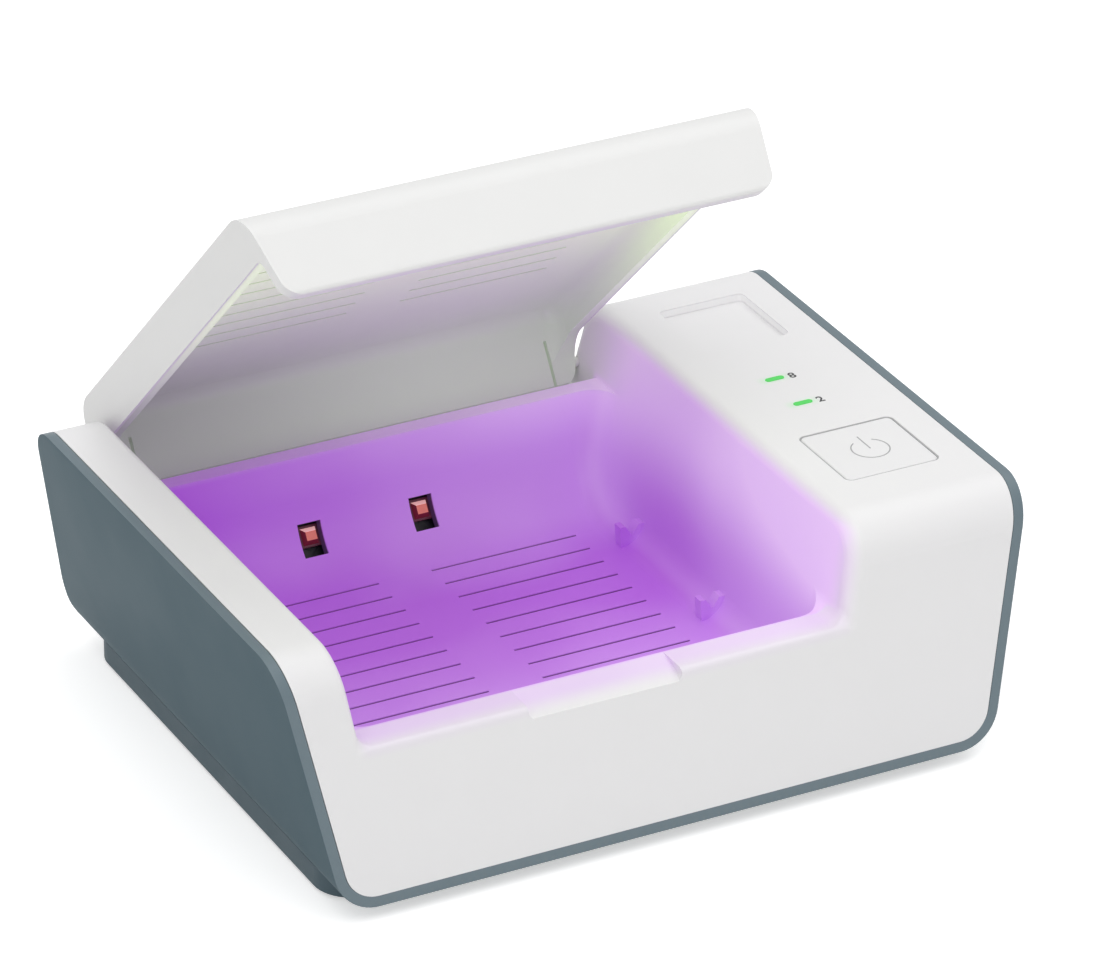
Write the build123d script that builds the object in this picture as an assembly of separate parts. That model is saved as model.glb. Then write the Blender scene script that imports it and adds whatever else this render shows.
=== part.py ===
from build123d import *
import math
import os

# Hearing aid dryer with a hinged lid, a lit drying chamber and a control console, in millimetres.
# +Z is up and the feet stand on Z = 0. While it is built, Y = 0 is the foot of the front face and
# the flanks are symmetric about X = 0. The last step centres the whole assembly in Y.

# ---- Driving dimensions: outer body ----------------------------------------------------------
BODY_TOP = 39.85  # height of the flat top
BAND_Z = 3.8  # height where the white shell starts, on the cradle's floor
HALF_WIDTH = 50.0  # half the shell's width at BAND_Z
FLANK_FLARE = 0.1965  # outward growth of each flank per unit of height
BODY_DEPTH = 93.5  # front to rear of the shell at BAND_Z
FRONT_LEAN = 0.1297  # backward lean of the front face per unit of height
REAR_LEAN = 0.1876  # forward lean of the rear face per unit of height
FRONT_TOP_R = 6.9
REAR_TOP_R = 6.5
REAR_FOOT_R = 7.5  # lower rear corner of the cradle
SHELL_WALL = 1.8


def from_flank(*insets):
    """X places on the console, given as insets from the right flank's foot."""
    return tuple(HALF_WIDTH - inset for inset in insets)


def from_rear(*insets):
    """Y places given as insets from the rear face's foot."""
    return tuple(BODY_DEPTH - inset for inset in insets)


CONSOLE_EDGE_R = 2.5  # rounding of the opening's rim on the console's side
RAIL_EDGE_R = 1.2  # and on the rail's side
SILL_EDGE_R = 0.9

CRADLE_WALL = 1.65  # flank panels
CRADLE_FLOOR = 1.6
CRADLE_CORNER_R = 6.5  # outer lower corners, seen from the front
CRADLE_FIT = 0.1  # side gap between cradle and shell

# ---- Base ------------------------------------------------------------------------------------
FOOT_PROUD = 0.8  # feet below the base plate
FOOT_SEAT = 0.6  # feet let into the base plate
FOOT_R = 4.5
FOOT_INSET_X = 10.0  # foot centre from the base plate's edges
FOOT_INSET_FRONT = 15.0
FOOT_INSET_REAR = 22.3
BASE_OVERHANG = 0.8  # base plate wider than the shell's foot, each side
BASE_HALF_WIDTH = HALF_WIDTH + BASE_OVERHANG
BASE_FRONT = 5.0
BASE_REAR_INSET = 6.2
BASE_REAR = BODY_DEPTH - BASE_REAR_INSET
BASE_CORNER_R = 6.0
BASE_RISE = 4.8  # height of the base plate's side walls, which end on the cradle
BASE_FIT = 0.1
SCREW_R = 1.1
SCREW_FIT = 0.05
SCREW_HEAD_R = 2.1
SCREW_HEAD_H = 1.0
BASE_SCREW_LENGTH = 8.0
BOSS_R = 2.6
BASE_BOSS_INSET = 8.5  # boss centre from the chamber's side walls, near the floor
BASE_BOSS_FRONT = 11.0
BASE_BOSS_REAR = 3.7  # boss centre in front of the chamber's rear wall

# ---- Chamber and lid opening -----------------------------------------------------------------
OPENING_LEFT_INSET = 0.7  # side walls of the opening at BODY_TOP, from HALF_WIDTH
OPENING_RIGHT_INSET = 19.25
OPENING_LEFT = OPENING_LEFT_INSET - HALF_WIDTH
OPENING_RIGHT = HALF_WIDTH - OPENING_RIGHT_INSET
WALL_LEAN = 0.165  # inward lean of the side walls per unit of depth
LEDGE_Z = 25.55  # sill under the lid's lip
LEDGE_REAR = 8.5
LEDGE_CORNER_R = 2.4
CHAMBER_FLOOR = 11.9
CHAMBER_REAR_INSET = 16.3
CHAMBER_REAR = BODY_DEPTH - CHAMBER_REAR_INSET
CHAMBER_COVE_R = 10.4  # cove between the floor and the rear wall
CHAMBER_FRONT_R = 4.0
CHAMBER_SIDE_R = 4.2  # coves along both side walls
SHELF_Z = 29.7  # top of the rear wall
SHELF_WIDTH = 2.8
SHELF_REAR = CHAMBER_REAR + SHELF_WIDTH
NOTCH_LEFT = -21.55  # finger notch in the sill
NOTCH_RIGHT = 2.35
NOTCH_DEPTH = 1.9
NOTCH_END_R = 1.2

SLIT_FRONT = 17.0  # no slit lies in front of this
SLIT_PITCH = 4.47
SLIT_WIDTH = 0.45
SLIT_LENGTH = 23.85
SLIT_GAP = 8.55  # between the left and right group
REST_ROWS = (36.0, 61.0)  # V-notched rests along the right wall
REST_THICK = 1.8
REST_REACH = 4.6
REST_RISE = 3.4
REST_NOTCH = 1.1

# ---- Lid -------------------------------------------------------------------------------------
LID_GAP_LEFT = 0.3
LID_GAP_RIGHT = 0.6
LID_FOLD_R = 5.0
LID_PLATE = 2.0
LIP_THICK = 2.2
LIP_GAP = 0.6  # between the lip's tip and the sill
FLAP_THICK = 3.05
FLAP_BELOW_AXIS = 3.0
FLAP_HEEL_R = 2.2
CHEEK_THICK = 1.8
RIM_DEPTH = 7.0  # height of the lid's cheeks
LID_CORNER_R = 3.0
LID_INNER_R = 2.6
RIM_REAR_R = 5.0
HINGE_Z = 29.5
HINGE_INSET = 2.24  # hinge axis inside the rear face
HINGE_PIN_R = 0.8
HINGE_PIN_FIT = 0.06
HINGE_PIN_DEPTH = 1.5  # pin's reach into the wall
HEEL_CLEAR = 0.35
LID_OPEN_DEG = 44.0
EAR_SLIT_X = 4.0  # relief slit from the ear's end
EAR_SLIT_WIDTH = 0.5
EAR_SLIT_RISE = 6.8
GROOVE_ROWS = 8
GROOVE_PITCH = 4.41
GROOVE_FIRST = 30.2
GROOVE_SHIFT = -1.2  # grooves left of the floor slits below them
GROOVE_DEPTH = 0.35
GROOVE_WIDTH = 0.45

# ---- Console ---------------------------------------------------------------------------------
RECESS_X = from_flank(12.2, -2.0)  # battery tray in the top
RECESS_Y = from_rear(31.4, 16.3)
RECESS_DEPTH = 1.3
RECESS_R = 1.0
BUTTON_X = from_flank(13.4, -2.0)
BUTTON_Y = (17.4, 32.5)
BUTTON_CORNER_R = 1.2
BUTTON_GROOVE = 0.25
BUTTON_TRAVEL = 0.5
BUTTON_FLANGE = 0.7
BUTTON_FLANGE_H = 1.0
BUTTON_LIFT_GAP = 0.1  # between the flange and the shell's underside
LIGHT_X = from_flank(8.6, 5.8)
CONSOLE_GAP_Y = (BUTTON_Y[1] + RECESS_Y[0]) / 2  # halfway from the button to the tray
LIGHT_ROWS = (CONSOLE_GAP_Y - 5.6, CONSOLE_GAP_Y + 2.9)
LIGHT_WIDTH = 0.75
LIGHT_FIT = 0.03
LIGHT_FLANGE = 0.8

# ---- Electronics -----------------------------------------------------------------------------
BOARD_Z = 31.45
BOARD_THICK = 1.6
BOARD_X = from_flank(17.7, -2.6)
BOARD_FRONT = 9.0
BOARD_Y = (BOARD_FRONT, *from_rear(8.9))
BOARD_SCREW_INSET = 3.2
BOARD_SCREWS = (
    (BOARD_X[0] + 2.6, BOARD_FRONT + 4.2),
    (BOARD_X[1] - BOARD_SCREW_INSET, 41.0),
    (BOARD_X[1] - BOARD_SCREW_INSET, BOARD_Y[1] - BOARD_SCREW_INSET),
)
BOARD_BOSS_R = 2.0
SMALL_SCREW_R = 0.9
SMALL_HEAD_R = 1.7
SMALL_HEAD_H = 1.1
SWITCH_SIZE = 6.0
SWITCH_H = 3.1
PLUNGER_R = 1.7
PLUNGER_FIT = 0.08
PLUNGER_SEAT = 1.3  # plunger below the housing's top
CHIP_SIZE = 7.0
CHIP_H = 0.9
CHIP_CENTRE = (BOARD_X[0] + 10.7, CONSOLE_GAP_Y + 9.7)
LED_SIZE = (1.6, 0.8, 0.6)
CAPACITOR_R = 2.0
CAPACITOR_H = 4.2
CAPACITOR_X = BOARD_X[0] + 3.3
CAPACITORS = ((CAPACITOR_X, CONSOLE_GAP_Y - 1.3), (CAPACITOR_X, CONSOLE_GAP_Y + 4.7))
INLET_INSET = 11.0  # socket's centre from HALF_WIDTH
INLET_X = HALF_WIDTH - INLET_INSET
INLET_WIDTH = 8.94
INLET_HEIGHT = 3.26
INLET_LENGTH = 7.35
INLET_SKIN = 0.3
INLET_RECESS = 0.4  # mouth behind the rear face
INLET_FIT = 0.2
TONGUE_WIDTH = 6.7
TONGUE_THICK = 0.7
TONGUE_STOP = 1.6  # thickness of the block that closes the socket

UV_SLOPE_DEG = 57.0  # place of the light windows on the cove
UV_CENTRES = (-20.1, -2.0)
UV_WINDOW = (3.8, 5.1)
UV_BOARD_X = (-31.0, 9.0)
UV_BOARD_WIDTH = 7.4
UV_BOARD_THICK = 1.0
UV_BOARD_BACK = 1.2  # gap between the cove's back and the board
UV_CHIP = (3.0, 2.2, 1.5)
UV_CHIP_SHIFT = 1.0  # chip above the window's middle
UV_SCREW_X = (-28.5, 6.5)

# ---- Air path --------------------------------------------------------------------------------
TRAY_WALL = 0.8
TRAY_FIT = 0.1
TRAY_MARGIN = 2.6  # tray beyond the slits
HEATER_PLATE = (48.0, 40.0, 1.0)
HEATER_PLATE_RISE = 2.3
HEATER_CORE = (30.0, 18.0, 2.1)
HEATER_SCREW_INSET = 3.2
HEATER_POST_R = 2.0
FUSE_R = 1.0
FUSE_LENGTH = 9.0
FAN_SIZE = 17.0
FAN_DEPTH = 8.0
FAN_INSET = 10.7  # fan's axis from HALF_WIDTH
FAN_X = HALF_WIDTH - FAN_INSET
FAN_Z = 17.5
FAN_REAR_INSET = 16.5  # fan's front from the rear face's foot
FAN_FRONT = BODY_DEPTH - FAN_REAR_INSET
FAN_BORE_R = 8.0
FAN_HUB_R = 3.4
FAN_BLADES = 7
FAN_BLADE_GAP = 0.4
FAN_SHAFT_R = 0.6
FAN_SHAFT_FIT = 0.05
FAN_SCREW_INSET = 1.5  # screw centres from the fan's sides
FAN_SCREW_R = 0.7
FAN_SCREW_LENGTH = 12.0
DUCT_WALL = 0.8
DUCT_FRONT = 31.0
THROAT_DEPTH = 23.0
THROAT_INSET = 9.0
THROAT_RIGHT = HALF_WIDTH - THROAT_INSET
GRILLE_SLOTS = 6
GRILLE_PITCH = 2.4
GRILLE_SLOT = 1.1

FAR = 150.0  # beyond the object, for cutting bodies
CENTRE_X = (OPENING_LEFT + OPENING_RIGHT) / 2


# ---- Shapes that several pieces share --------------------------------------------------------
def front_y(z, inset=0.0):
    """Y of the leaning front face at a height, moved into the body by an inset."""
    return FRONT_LEAN * (z - BAND_Z) + inset * math.hypot(1, FRONT_LEAN)


def rear_y(z, inset=0.0):
    """Y of the leaning rear face at a height, moved into the body by an inset."""
    return BODY_DEPTH - REAR_LEAN * (z - BAND_Z) - inset * math.hypot(1, REAR_LEAN)


def flank_x(z, inset=0.0):
    """X of the right flank at a height, moved into the body by an inset."""
    return HALF_WIDTH + FLANK_FLARE * (z - BAND_Z) - inset * math.hypot(1, FLANK_FLARE)


def wall_x(side, z, out=0.0):
    """X of the opening's left (-1) or right (+1) side wall, moved away from the opening."""
    top = OPENING_LEFT if side < 0 else OPENING_RIGHT
    return top - side * WALL_LEAN * (BODY_TOP - z) + side * out * math.hypot(1, WALL_LEAN)


def outline(points, radii):
    """Flat outline of straight runs, each corner rounded by its own radius."""
    return make_face(FilletPolyline(*points, radius=radii, close=True))


def prism_x(points, radii, x_from, x_to):
    """Solid along X with an outline of (y, z) points."""
    return extrude(Plane.YZ.offset(x_from) * outline(points, radii), amount=x_to - x_from)


def prism_y(points, radii, y_from, y_to):
    """Solid along Y with an outline of (x, z) points."""
    return extrude(Plane.XZ.offset(-y_from) * outline(points, radii), amount=y_from - y_to)


def prism_z(x_range, y_range, radius, z_from, z_to):
    """Upright block with rounded corners."""
    (x0, x1), (y0, y1) = x_range, y_range
    corners = [(x0, y0), (x1, y0), (x1, y1), (x0, y1)]
    return extrude(Plane.XY.offset(z_from) * outline(corners, radius), amount=z_to - z_from)


def block(x_range, y_range, z_range):
    """Plain block between two corners."""
    spans = [high - low for low, high in (x_range, y_range, z_range)]
    low = (x_range[0], y_range[0], z_range[0])
    return Pos(*low) * Box(*spans, align=(Align.MIN, Align.MIN, Align.MIN))


def pillar(x, y, z_from, z_to, radius):
    """Upright cylinder."""
    foot = (Align.CENTER, Align.CENTER, Align.MIN)
    return Pos(x, y, z_from) * Cylinder(radius, z_to - z_from, align=foot)


def rod_y(x, z, y_from, y_to, radius):
    """Cylinder along Y."""
    return extrude(Plane.XZ.offset(-y_from) * Pos(x, z) * Circle(radius), amount=y_from - y_to)


def rod_x(y, z, x_from, x_to, radius):
    """Cylinder along X."""
    return extrude(Plane.YZ.offset(x_from) * Pos(y, z) * Circle(radius), amount=x_to - x_from)


def envelope(inset, floor_z, side_gap, corner_r, foot_r):
    """The body's outer form: side profile crossed with front profile."""
    profile = [
        (front_y(floor_z, inset), floor_z),
        (front_y(BODY_TOP - inset, inset), BODY_TOP - inset),
        (rear_y(BODY_TOP - inset, inset), BODY_TOP - inset),
        (rear_y(floor_z, inset), floor_z),
    ]
    rounds = [0.0, FRONT_TOP_R - inset, REAR_TOP_R - inset, foot_r]
    side = prism_x(profile, rounds, -FAR, FAR)
    low = flank_x(floor_z, inset) + side_gap
    high = flank_x(BODY_TOP, inset) + side_gap
    front = [(-low, floor_z), (low, floor_z), (high, BODY_TOP), (-high, BODY_TOP)]
    return side & prism_y(front, [corner_r, corner_r, 0.0, 0.0], -FAR, FAR)


def opening_bar(bottom, y_from, y_to, out, corner_r):
    """Space between the opening's side walls, above a height."""
    top = BODY_TOP + 10
    corners = [
        (wall_x(-1, bottom, out), bottom),
        (wall_x(1, bottom, out), bottom),
        (wall_x(1, top, out), top),
        (wall_x(-1, top, out), top),
    ]
    return prism_y(corners, [corner_r, corner_r, 0.0, 0.0], y_from, y_to)


def hinge_y():
    """Y of the lid's hinge axis."""
    return rear_y(HINGE_Z, HINGE_INSET)


def heel_reach():
    """Farthest reach of the flap's rounded heel from the hinge axis."""
    back = HINGE_INSET + FLAP_BELOW_AXIS * REAR_LEAN - FLAP_HEEL_R
    down = FLAP_BELOW_AXIS - FLAP_HEEL_R
    return math.hypot(back, down) + FLAP_HEEL_R


def opening_space(out=0.0):
    """Chamber, front sill opening and rear hinge trough as one body, grown outwards by out."""
    floor = CHAMBER_FLOOR - out
    top = BODY_TOP + 10
    profile = [
        (LEDGE_REAR - out, top),
        (LEDGE_REAR - out, floor),
        (CHAMBER_REAR + out, floor),
        (CHAMBER_REAR + out, top),
    ]
    rounds = [0.0, CHAMBER_FRONT_R + out, CHAMBER_COVE_R + out, 0.0]
    chamber = prism_x(profile, rounds, -FAR, FAR) & opening_bar(floor, -FAR, FAR, out, 0.0)
    side_edges = [
        edge
        for face in (chamber.faces().sort_by(Axis.X)[0], chamber.faces().sort_by(Axis.X)[-1])
        for edge in face.edges()
        if edge.center().Z < top - 0.01
    ]
    chamber = fillet(side_edges, CHAMBER_SIDE_R + out)
    reach = CHAMBER_SIDE_R + out
    corner_r = LEDGE_CORNER_R + out if out else 0.0
    sill = opening_bar(LEDGE_Z - out, -FAR, LEDGE_REAR + reach, out, corner_r)
    shelf = opening_bar(SHELF_Z - out, CHAMBER_REAR - reach, FAR, out, 0.0)
    trough_floor = HINGE_Z - heel_reach() - HEEL_CLEAR
    trough = opening_bar(trough_floor - out, SHELF_REAR - out, FAR, out, 0.0)
    return chamber + sill + shelf + trough


# ---- Upper shell -----------------------------------------------------------------------------
def slit_rows():
    """Y of each row of floor slits, from the foot of the rear cove forwards."""
    last = CHAMBER_REAR - CHAMBER_COVE_R
    rows = int((last - SLIT_FRONT) / SLIT_PITCH) + 1
    return [last - SLIT_PITCH * row for row in range(rows)]


def slit_spans():
    """X range of the left and the right group of slits."""
    half = SLIT_GAP / 2
    return (
        (CENTRE_X - half - SLIT_LENGTH, CENTRE_X - half),
        (CENTRE_X + half, CENTRE_X + half + SLIT_LENGTH),
    )


def cove_plane(radius, shift=0.0):
    """Plane across the cove at the light windows, facing the chamber, at a radius of the cove."""
    angle = math.radians(UV_SLOPE_DEG)
    outward = Vector(0, math.sin(angle), -math.cos(angle))
    uphill = Vector(0, math.cos(angle), math.sin(angle))
    centre = Vector(0, CHAMBER_REAR - CHAMBER_COVE_R, CHAMBER_FLOOR + CHAMBER_COVE_R)
    return Plane(centre + outward * radius + uphill * shift, x_dir=(1, 0, 0), z_dir=-outward)


def cove_block(x_range, width, radius_from, radius_to, shift=0.0):
    """Block that lies across the cove, between two radii."""
    middle = (x_range[0] + x_range[1]) / 2
    length = x_range[1] - x_range[0]
    sketch = Pos(middle, 0) * Rectangle(length, width)
    return extrude(cove_plane(radius_from, shift) * sketch, amount=radius_from - radius_to)


def cove_rod(x, rod_r, radius_from, radius_to):
    """Rod that points across the cove, between two radii."""
    sketch = Pos(x, 0) * Circle(rod_r)
    return extrude(cove_plane(radius_from) * sketch, amount=radius_from - radius_to)


def base_screw_places():
    """X, Y of the screws that hold the base, the cradle and the shell together."""
    left = wall_x(-1, CHAMBER_FLOOR) + BASE_BOSS_INSET
    right = wall_x(1, CHAMBER_FLOOR) - BASE_BOSS_INSET
    rows = (BASE_BOSS_FRONT, CHAMBER_REAR - BASE_BOSS_REAR)
    return [(x, y) for x in (left, right) for y in rows]


def grown(span, margin):
    """A range made longer at both ends."""
    return (span[0] - margin, span[1] + margin)


def middle(span):
    """Middle of a range."""
    return (span[0] + span[1]) / 2


def board_top():
    """Height of the main board's upper face."""
    return BOARD_Z + BOARD_THICK


def top_underside():
    """Height of the underside of the shell's top."""
    return BODY_TOP - SHELL_WALL


def make_upper_shell():
    """White moulding: rail, console, chamber walls and chamber floor in one piece."""
    shell = envelope(0.0, BAND_Z, 0.0, CRADLE_CORNER_R - CRADLE_WALL, REAR_FOOT_R - CRADLE_FLOOR)
    shell = soften_rim(shell - opening_space())

    inner_floor = BAND_Z + SHELL_WALL
    corner = CRADLE_CORNER_R - CRADLE_WALL - SHELL_WALL
    hollow = envelope(SHELL_WALL, inner_floor, 0.0, corner, 1.0)
    mouth_half = HALF_WIDTH - CRADLE_CORNER_R + CRADLE_WALL
    mouth_y = (front_y(BAND_Z, SHELL_WALL), rear_y(inner_floor, SHELL_WALL + REAR_FOOT_R))
    hollow += block((-mouth_half, mouth_half), mouth_y, (BAND_Z - 1, inner_floor + 1))
    hollow -= opening_space(SHELL_WALL)

    # bosses, recess floor and pads stay solid inside the hollow
    recess_z = BODY_TOP - RECESS_DEPTH
    keep = [block(grown(RECESS_X, SHELL_WALL), grown(RECESS_Y, SHELL_WALL),
                  (recess_z - SHELL_WALL, BODY_TOP))]
    for x, y in base_screw_places():
        keep.append(pillar(x, y, BAND_Z, CHAMBER_FLOOR + CHAMBER_COVE_R / 3, BOSS_R))
    for x, y in BOARD_SCREWS:
        keep.append(pillar(x, y, board_top(), BODY_TOP - 1, BOARD_BOSS_R))
    outer = CHAMBER_COVE_R + SHELL_WALL
    for x in UV_SCREW_X:
        keep.append(cove_rod(x, BOARD_BOSS_R, outer - 1, outer + UV_BOARD_BACK))
    for piece in keep:
        hollow -= piece
    shell -= hollow

    # windows, slits and holes
    cuts = [prism_z(RECESS_X, RECESS_Y, RECESS_R, recess_z, BODY_TOP + 1)]
    cuts.append(prism_z(BUTTON_X, BUTTON_Y, BUTTON_CORNER_R, top_underside() - 1, BODY_TOP + 1))
    for y in LIGHT_ROWS:
        rows = grown((y, y), LIGHT_WIDTH / 2)
        cuts.append(block(LIGHT_X, rows, (top_underside() - 1, BODY_TOP + 1)))
    for y in slit_rows():
        for span in slit_spans():
            rows = grown((y, y), SLIT_WIDTH / 2)
            cuts.append(block(span, rows, (CHAMBER_FLOOR - SHELL_WALL - 1, CHAMBER_FLOOR + 1)))
    for x in UV_CENTRES:
        span = grown((x, x), UV_WINDOW[0] / 2)
        cuts.append(cove_block(span, UV_WINDOW[1], CHAMBER_COVE_R - 2.5, outer + 0.5))
    for x, y in base_screw_places():
        cuts.append(pillar(x, y, BAND_Z - 1, BAND_Z + BASE_SCREW_LENGTH, SCREW_R + SCREW_FIT))
    for x, y in BOARD_SCREWS:
        cuts.append(pillar(x, y, board_top() - 1, top_underside(), SMALL_SCREW_R + SCREW_FIT))
    for x in UV_SCREW_X:
        hole = SMALL_SCREW_R + SCREW_FIT
        cuts.append(cove_rod(x, hole, outer - SHELL_WALL / 2, outer + UV_BOARD_BACK + 1))
    for side in (-1, 1):
        ends = sorted((wall_x(side, HINGE_Z) - side, wall_x(side, HINGE_Z) + side * 1.7))
        cuts.append(rod_x(hinge_y(), HINGE_Z, *ends, HINGE_PIN_R + HINGE_PIN_FIT))
    cuts.append(make_inlet_form(INLET_FIT, rear_y(board_top()) - 6, FAR))
    cuts.append(make_notch())
    for slot in range(GRILLE_SLOTS):
        z = FAN_Z + (slot - (GRILLE_SLOTS - 1) / 2) * GRILLE_PITCH
        span = grown((FAN_X, FAN_X), FAN_BORE_R - 1)
        cuts.append(block(span, (rear_y(z) - 3, rear_y(z) + 3), grown((z, z), GRILLE_SLOT / 2)))
    for cut in cuts:
        shell -= cut

    for y in REST_ROWS:
        shell += make_rest(y)
    return shell


def soften_rim(shell):
    """Round the rim of the lid opening: the sill's front edge, both flanks, then the corners."""
    shell = fillet([e for e in shell.edges() if on_sill_front(e)], SILL_EDGE_R)
    for side, radius in ((1, CONSOLE_EDGE_R), (-1, RAIL_EDGE_R)):
        shell = fillet([e for e in shell.edges() if on_side_rim(e, side)], radius)
    return fillet([e for e in shell.edges() if on_sill_corner(e)], LEDGE_CORNER_R)


def on_side_rim(edge, side):
    """True for the edges where one side wall of the opening meets the top and the front."""
    spots = [edge.position_at(t) for t in (0.1, 0.5, 0.9)]
    centre = spots[1]
    if any(abs(p.X - wall_x(side, p.Z)) > 0.05 for p in spots) or centre.Z < LEDGE_Z + 0.5:
        return False
    if centre.Z > BODY_TOP - 0.01:
        return True
    if centre.Z > BODY_TOP - FRONT_TOP_R:
        return centre.Y < front_y(BODY_TOP) + FRONT_TOP_R
    return all(abs(p.Y - front_y(p.Z)) < 0.01 for p in spots)


def on_sill_corner(edge):
    """True for the edges between the sill and the side walls."""
    start, end = edge.position_at(0), edge.position_at(1)
    level = abs(start.Z - LEDGE_Z) < 0.01 and abs(end.Z - LEDGE_Z) < 0.01
    return level and abs(start.X - end.X) < 0.05 and end.Y < BODY_DEPTH / 2


def on_sill_front(edge):
    """True for the sill's front edge."""
    spots = [edge.position_at(t) for t in (0.1, 0.5, 0.9)]
    return all(abs(p.Y - front_y(p.Z)) < 0.02 and abs(p.Z - LEDGE_Z) < 0.1 for p in spots)


def make_notch():
    """Finger notch that slopes from the sill's rear edge down to its front."""
    front = front_y(LEDGE_Z) - 1
    slope = [
        (front, LEDGE_Z - NOTCH_DEPTH),
        (LEDGE_REAR, LEDGE_Z),
        (LEDGE_REAR, LEDGE_Z + 3),
        (front, LEDGE_Z + 3),
    ]
    wedge = prism_x(slope, 0.0, NOTCH_LEFT, NOTCH_RIGHT)
    front_form = [
        (NOTCH_LEFT, LEDGE_Z - NOTCH_DEPTH),
        (NOTCH_RIGHT, LEDGE_Z - NOTCH_DEPTH),
        (NOTCH_RIGHT, LEDGE_Z + 3),
        (NOTCH_LEFT, LEDGE_Z + 3),
    ]
    rounds = [NOTCH_END_R, NOTCH_END_R, 0.0, 0.0]
    return wedge & prism_y(front_form, rounds, front - 1, LEDGE_REAR + 1)


def make_rest(y):
    """Upright rib in the corner of floor and right wall, with a V notch on top."""
    wall = wall_x(1, CHAMBER_FLOOR + REST_RISE) + 0.6
    left = wall - REST_REACH
    foot = CHAMBER_FLOOR - 0.5
    top = CHAMBER_FLOOR + REST_RISE
    centre = (left + wall_x(1, top)) / 2
    form = [
        (left + 0.3, foot),
        (wall, foot),
        (wall, top),
        (centre + REST_NOTCH, top),
        (centre, top - 1.5 * REST_NOTCH),
        (centre - REST_NOTCH, top),
        (left, top),
    ]
    return prism_y(form, 0.0, y - REST_THICK / 2, y + REST_THICK / 2)


# ---- Cradle, base and feet -------------------------------------------------------------------
def cradle_outer(grow=0.0):
    """Outer form of the cradle."""
    floor = BAND_Z - CRADLE_FLOOR - grow
    side_gap = CRADLE_WALL * math.hypot(1, FLANK_FLARE) + grow
    return envelope(0.0, floor, side_gap, CRADLE_CORNER_R + grow, REAR_FOOT_R)


def make_cradle():
    """Slate channel that carries the shell: a floor and two flank panels."""
    outer = cradle_outer()
    inner_r = CRADLE_CORNER_R - CRADLE_WALL + CRADLE_FIT
    low = flank_x(BAND_Z) + CRADLE_FIT
    high = flank_x(BODY_TOP + 5) + CRADLE_FIT
    form = [(-low, BAND_Z), (low, BAND_Z), (high, BODY_TOP + 5), (-high, BODY_TOP + 5)]
    cradle = outer - prism_y(form, [inner_r, inner_r, 0.0, 0.0], -FAR, FAR)
    for x, y in base_screw_places():
        cradle -= pillar(x, y, 0, BAND_Z + 1, SCREW_R + SCREW_FIT)
    return cradle


def foot_places():
    """X, Y of the four feet."""
    x = BASE_HALF_WIDTH - FOOT_INSET_X
    rows = (BASE_FRONT + FOOT_INSET_FRONT, BASE_REAR - FOOT_INSET_REAR)
    return [(side * x, y) for side in (-1, 1) for y in rows]


def make_base_plate():
    """Base plate under the cradle, with low side walls and countersunk screw holes."""
    plan = ((-BASE_HALF_WIDTH, BASE_HALF_WIDTH), (BASE_FRONT, BASE_REAR))
    base = prism_z(*plan, BASE_CORNER_R, FOOT_PROUD, FOOT_PROUD + BASE_RISE)
    base -= cradle_outer(BASE_FIT)
    for x, y in foot_places():
        base -= pillar(x, y, 0, FOOT_PROUD + FOOT_SEAT, FOOT_R + BASE_FIT)
    for x, y in base_screw_places():
        base -= pillar(x, y, 0, BAND_Z, SCREW_R + SCREW_FIT)
        base -= screw_head(x, y, SCREW_FIT)
    return base


def screw_head(x, y, fit):
    """Countersunk screw head that ends flush with the base plate."""
    cone = Cone(
        SCREW_HEAD_R + fit, SCREW_R + fit, SCREW_HEAD_H, align=(Align.CENTER, Align.CENTER, Align.MIN)
    )
    return Pos(x, y, FOOT_PROUD) * cone


def make_base_screws():
    """Four countersunk screws."""
    screws = []
    for x, y in base_screw_places():
        shaft = pillar(x, y, FOOT_PROUD + SCREW_HEAD_H, BAND_Z + BASE_SCREW_LENGTH - 1, SCREW_R)
        cross = block(grown((x, x), 1.1), grown((y, y), 0.25), (0, FOOT_PROUD + 0.5))
        cross += block(grown((x, x), 0.25), grown((y, y), 1.1), (0, FOOT_PROUD + 0.5))
        screws.append(screw_head(x, y, 0.0) + shaft - cross)
    return screws


def make_feet():
    """Four round rubber feet."""
    feet = []
    for x, y in foot_places():
        foot = pillar(x, y, 0, FOOT_PROUD + FOOT_SEAT, FOOT_R)
        rim = foot.edges().sort_by(Axis.Z)[0]
        feet.append(fillet(rim, FOOT_PROUD / 2))
    return feet


# ---- Lid -------------------------------------------------------------------------------------
def lid_bar(bottom, inset, corner_r):
    """Space between the lid's leaning sides, above a height."""
    top = BODY_TOP + 10
    corners = [
        (wall_x(-1, bottom, -LID_GAP_LEFT - inset), bottom),
        (wall_x(1, bottom, -LID_GAP_RIGHT - inset), bottom),
        (wall_x(1, top, -LID_GAP_RIGHT - inset), top),
        (wall_x(-1, top, -LID_GAP_LEFT - inset), top),
    ]
    return prism_y(corners, [corner_r, corner_r, 0.0, 0.0], -FAR, FAR)


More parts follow.
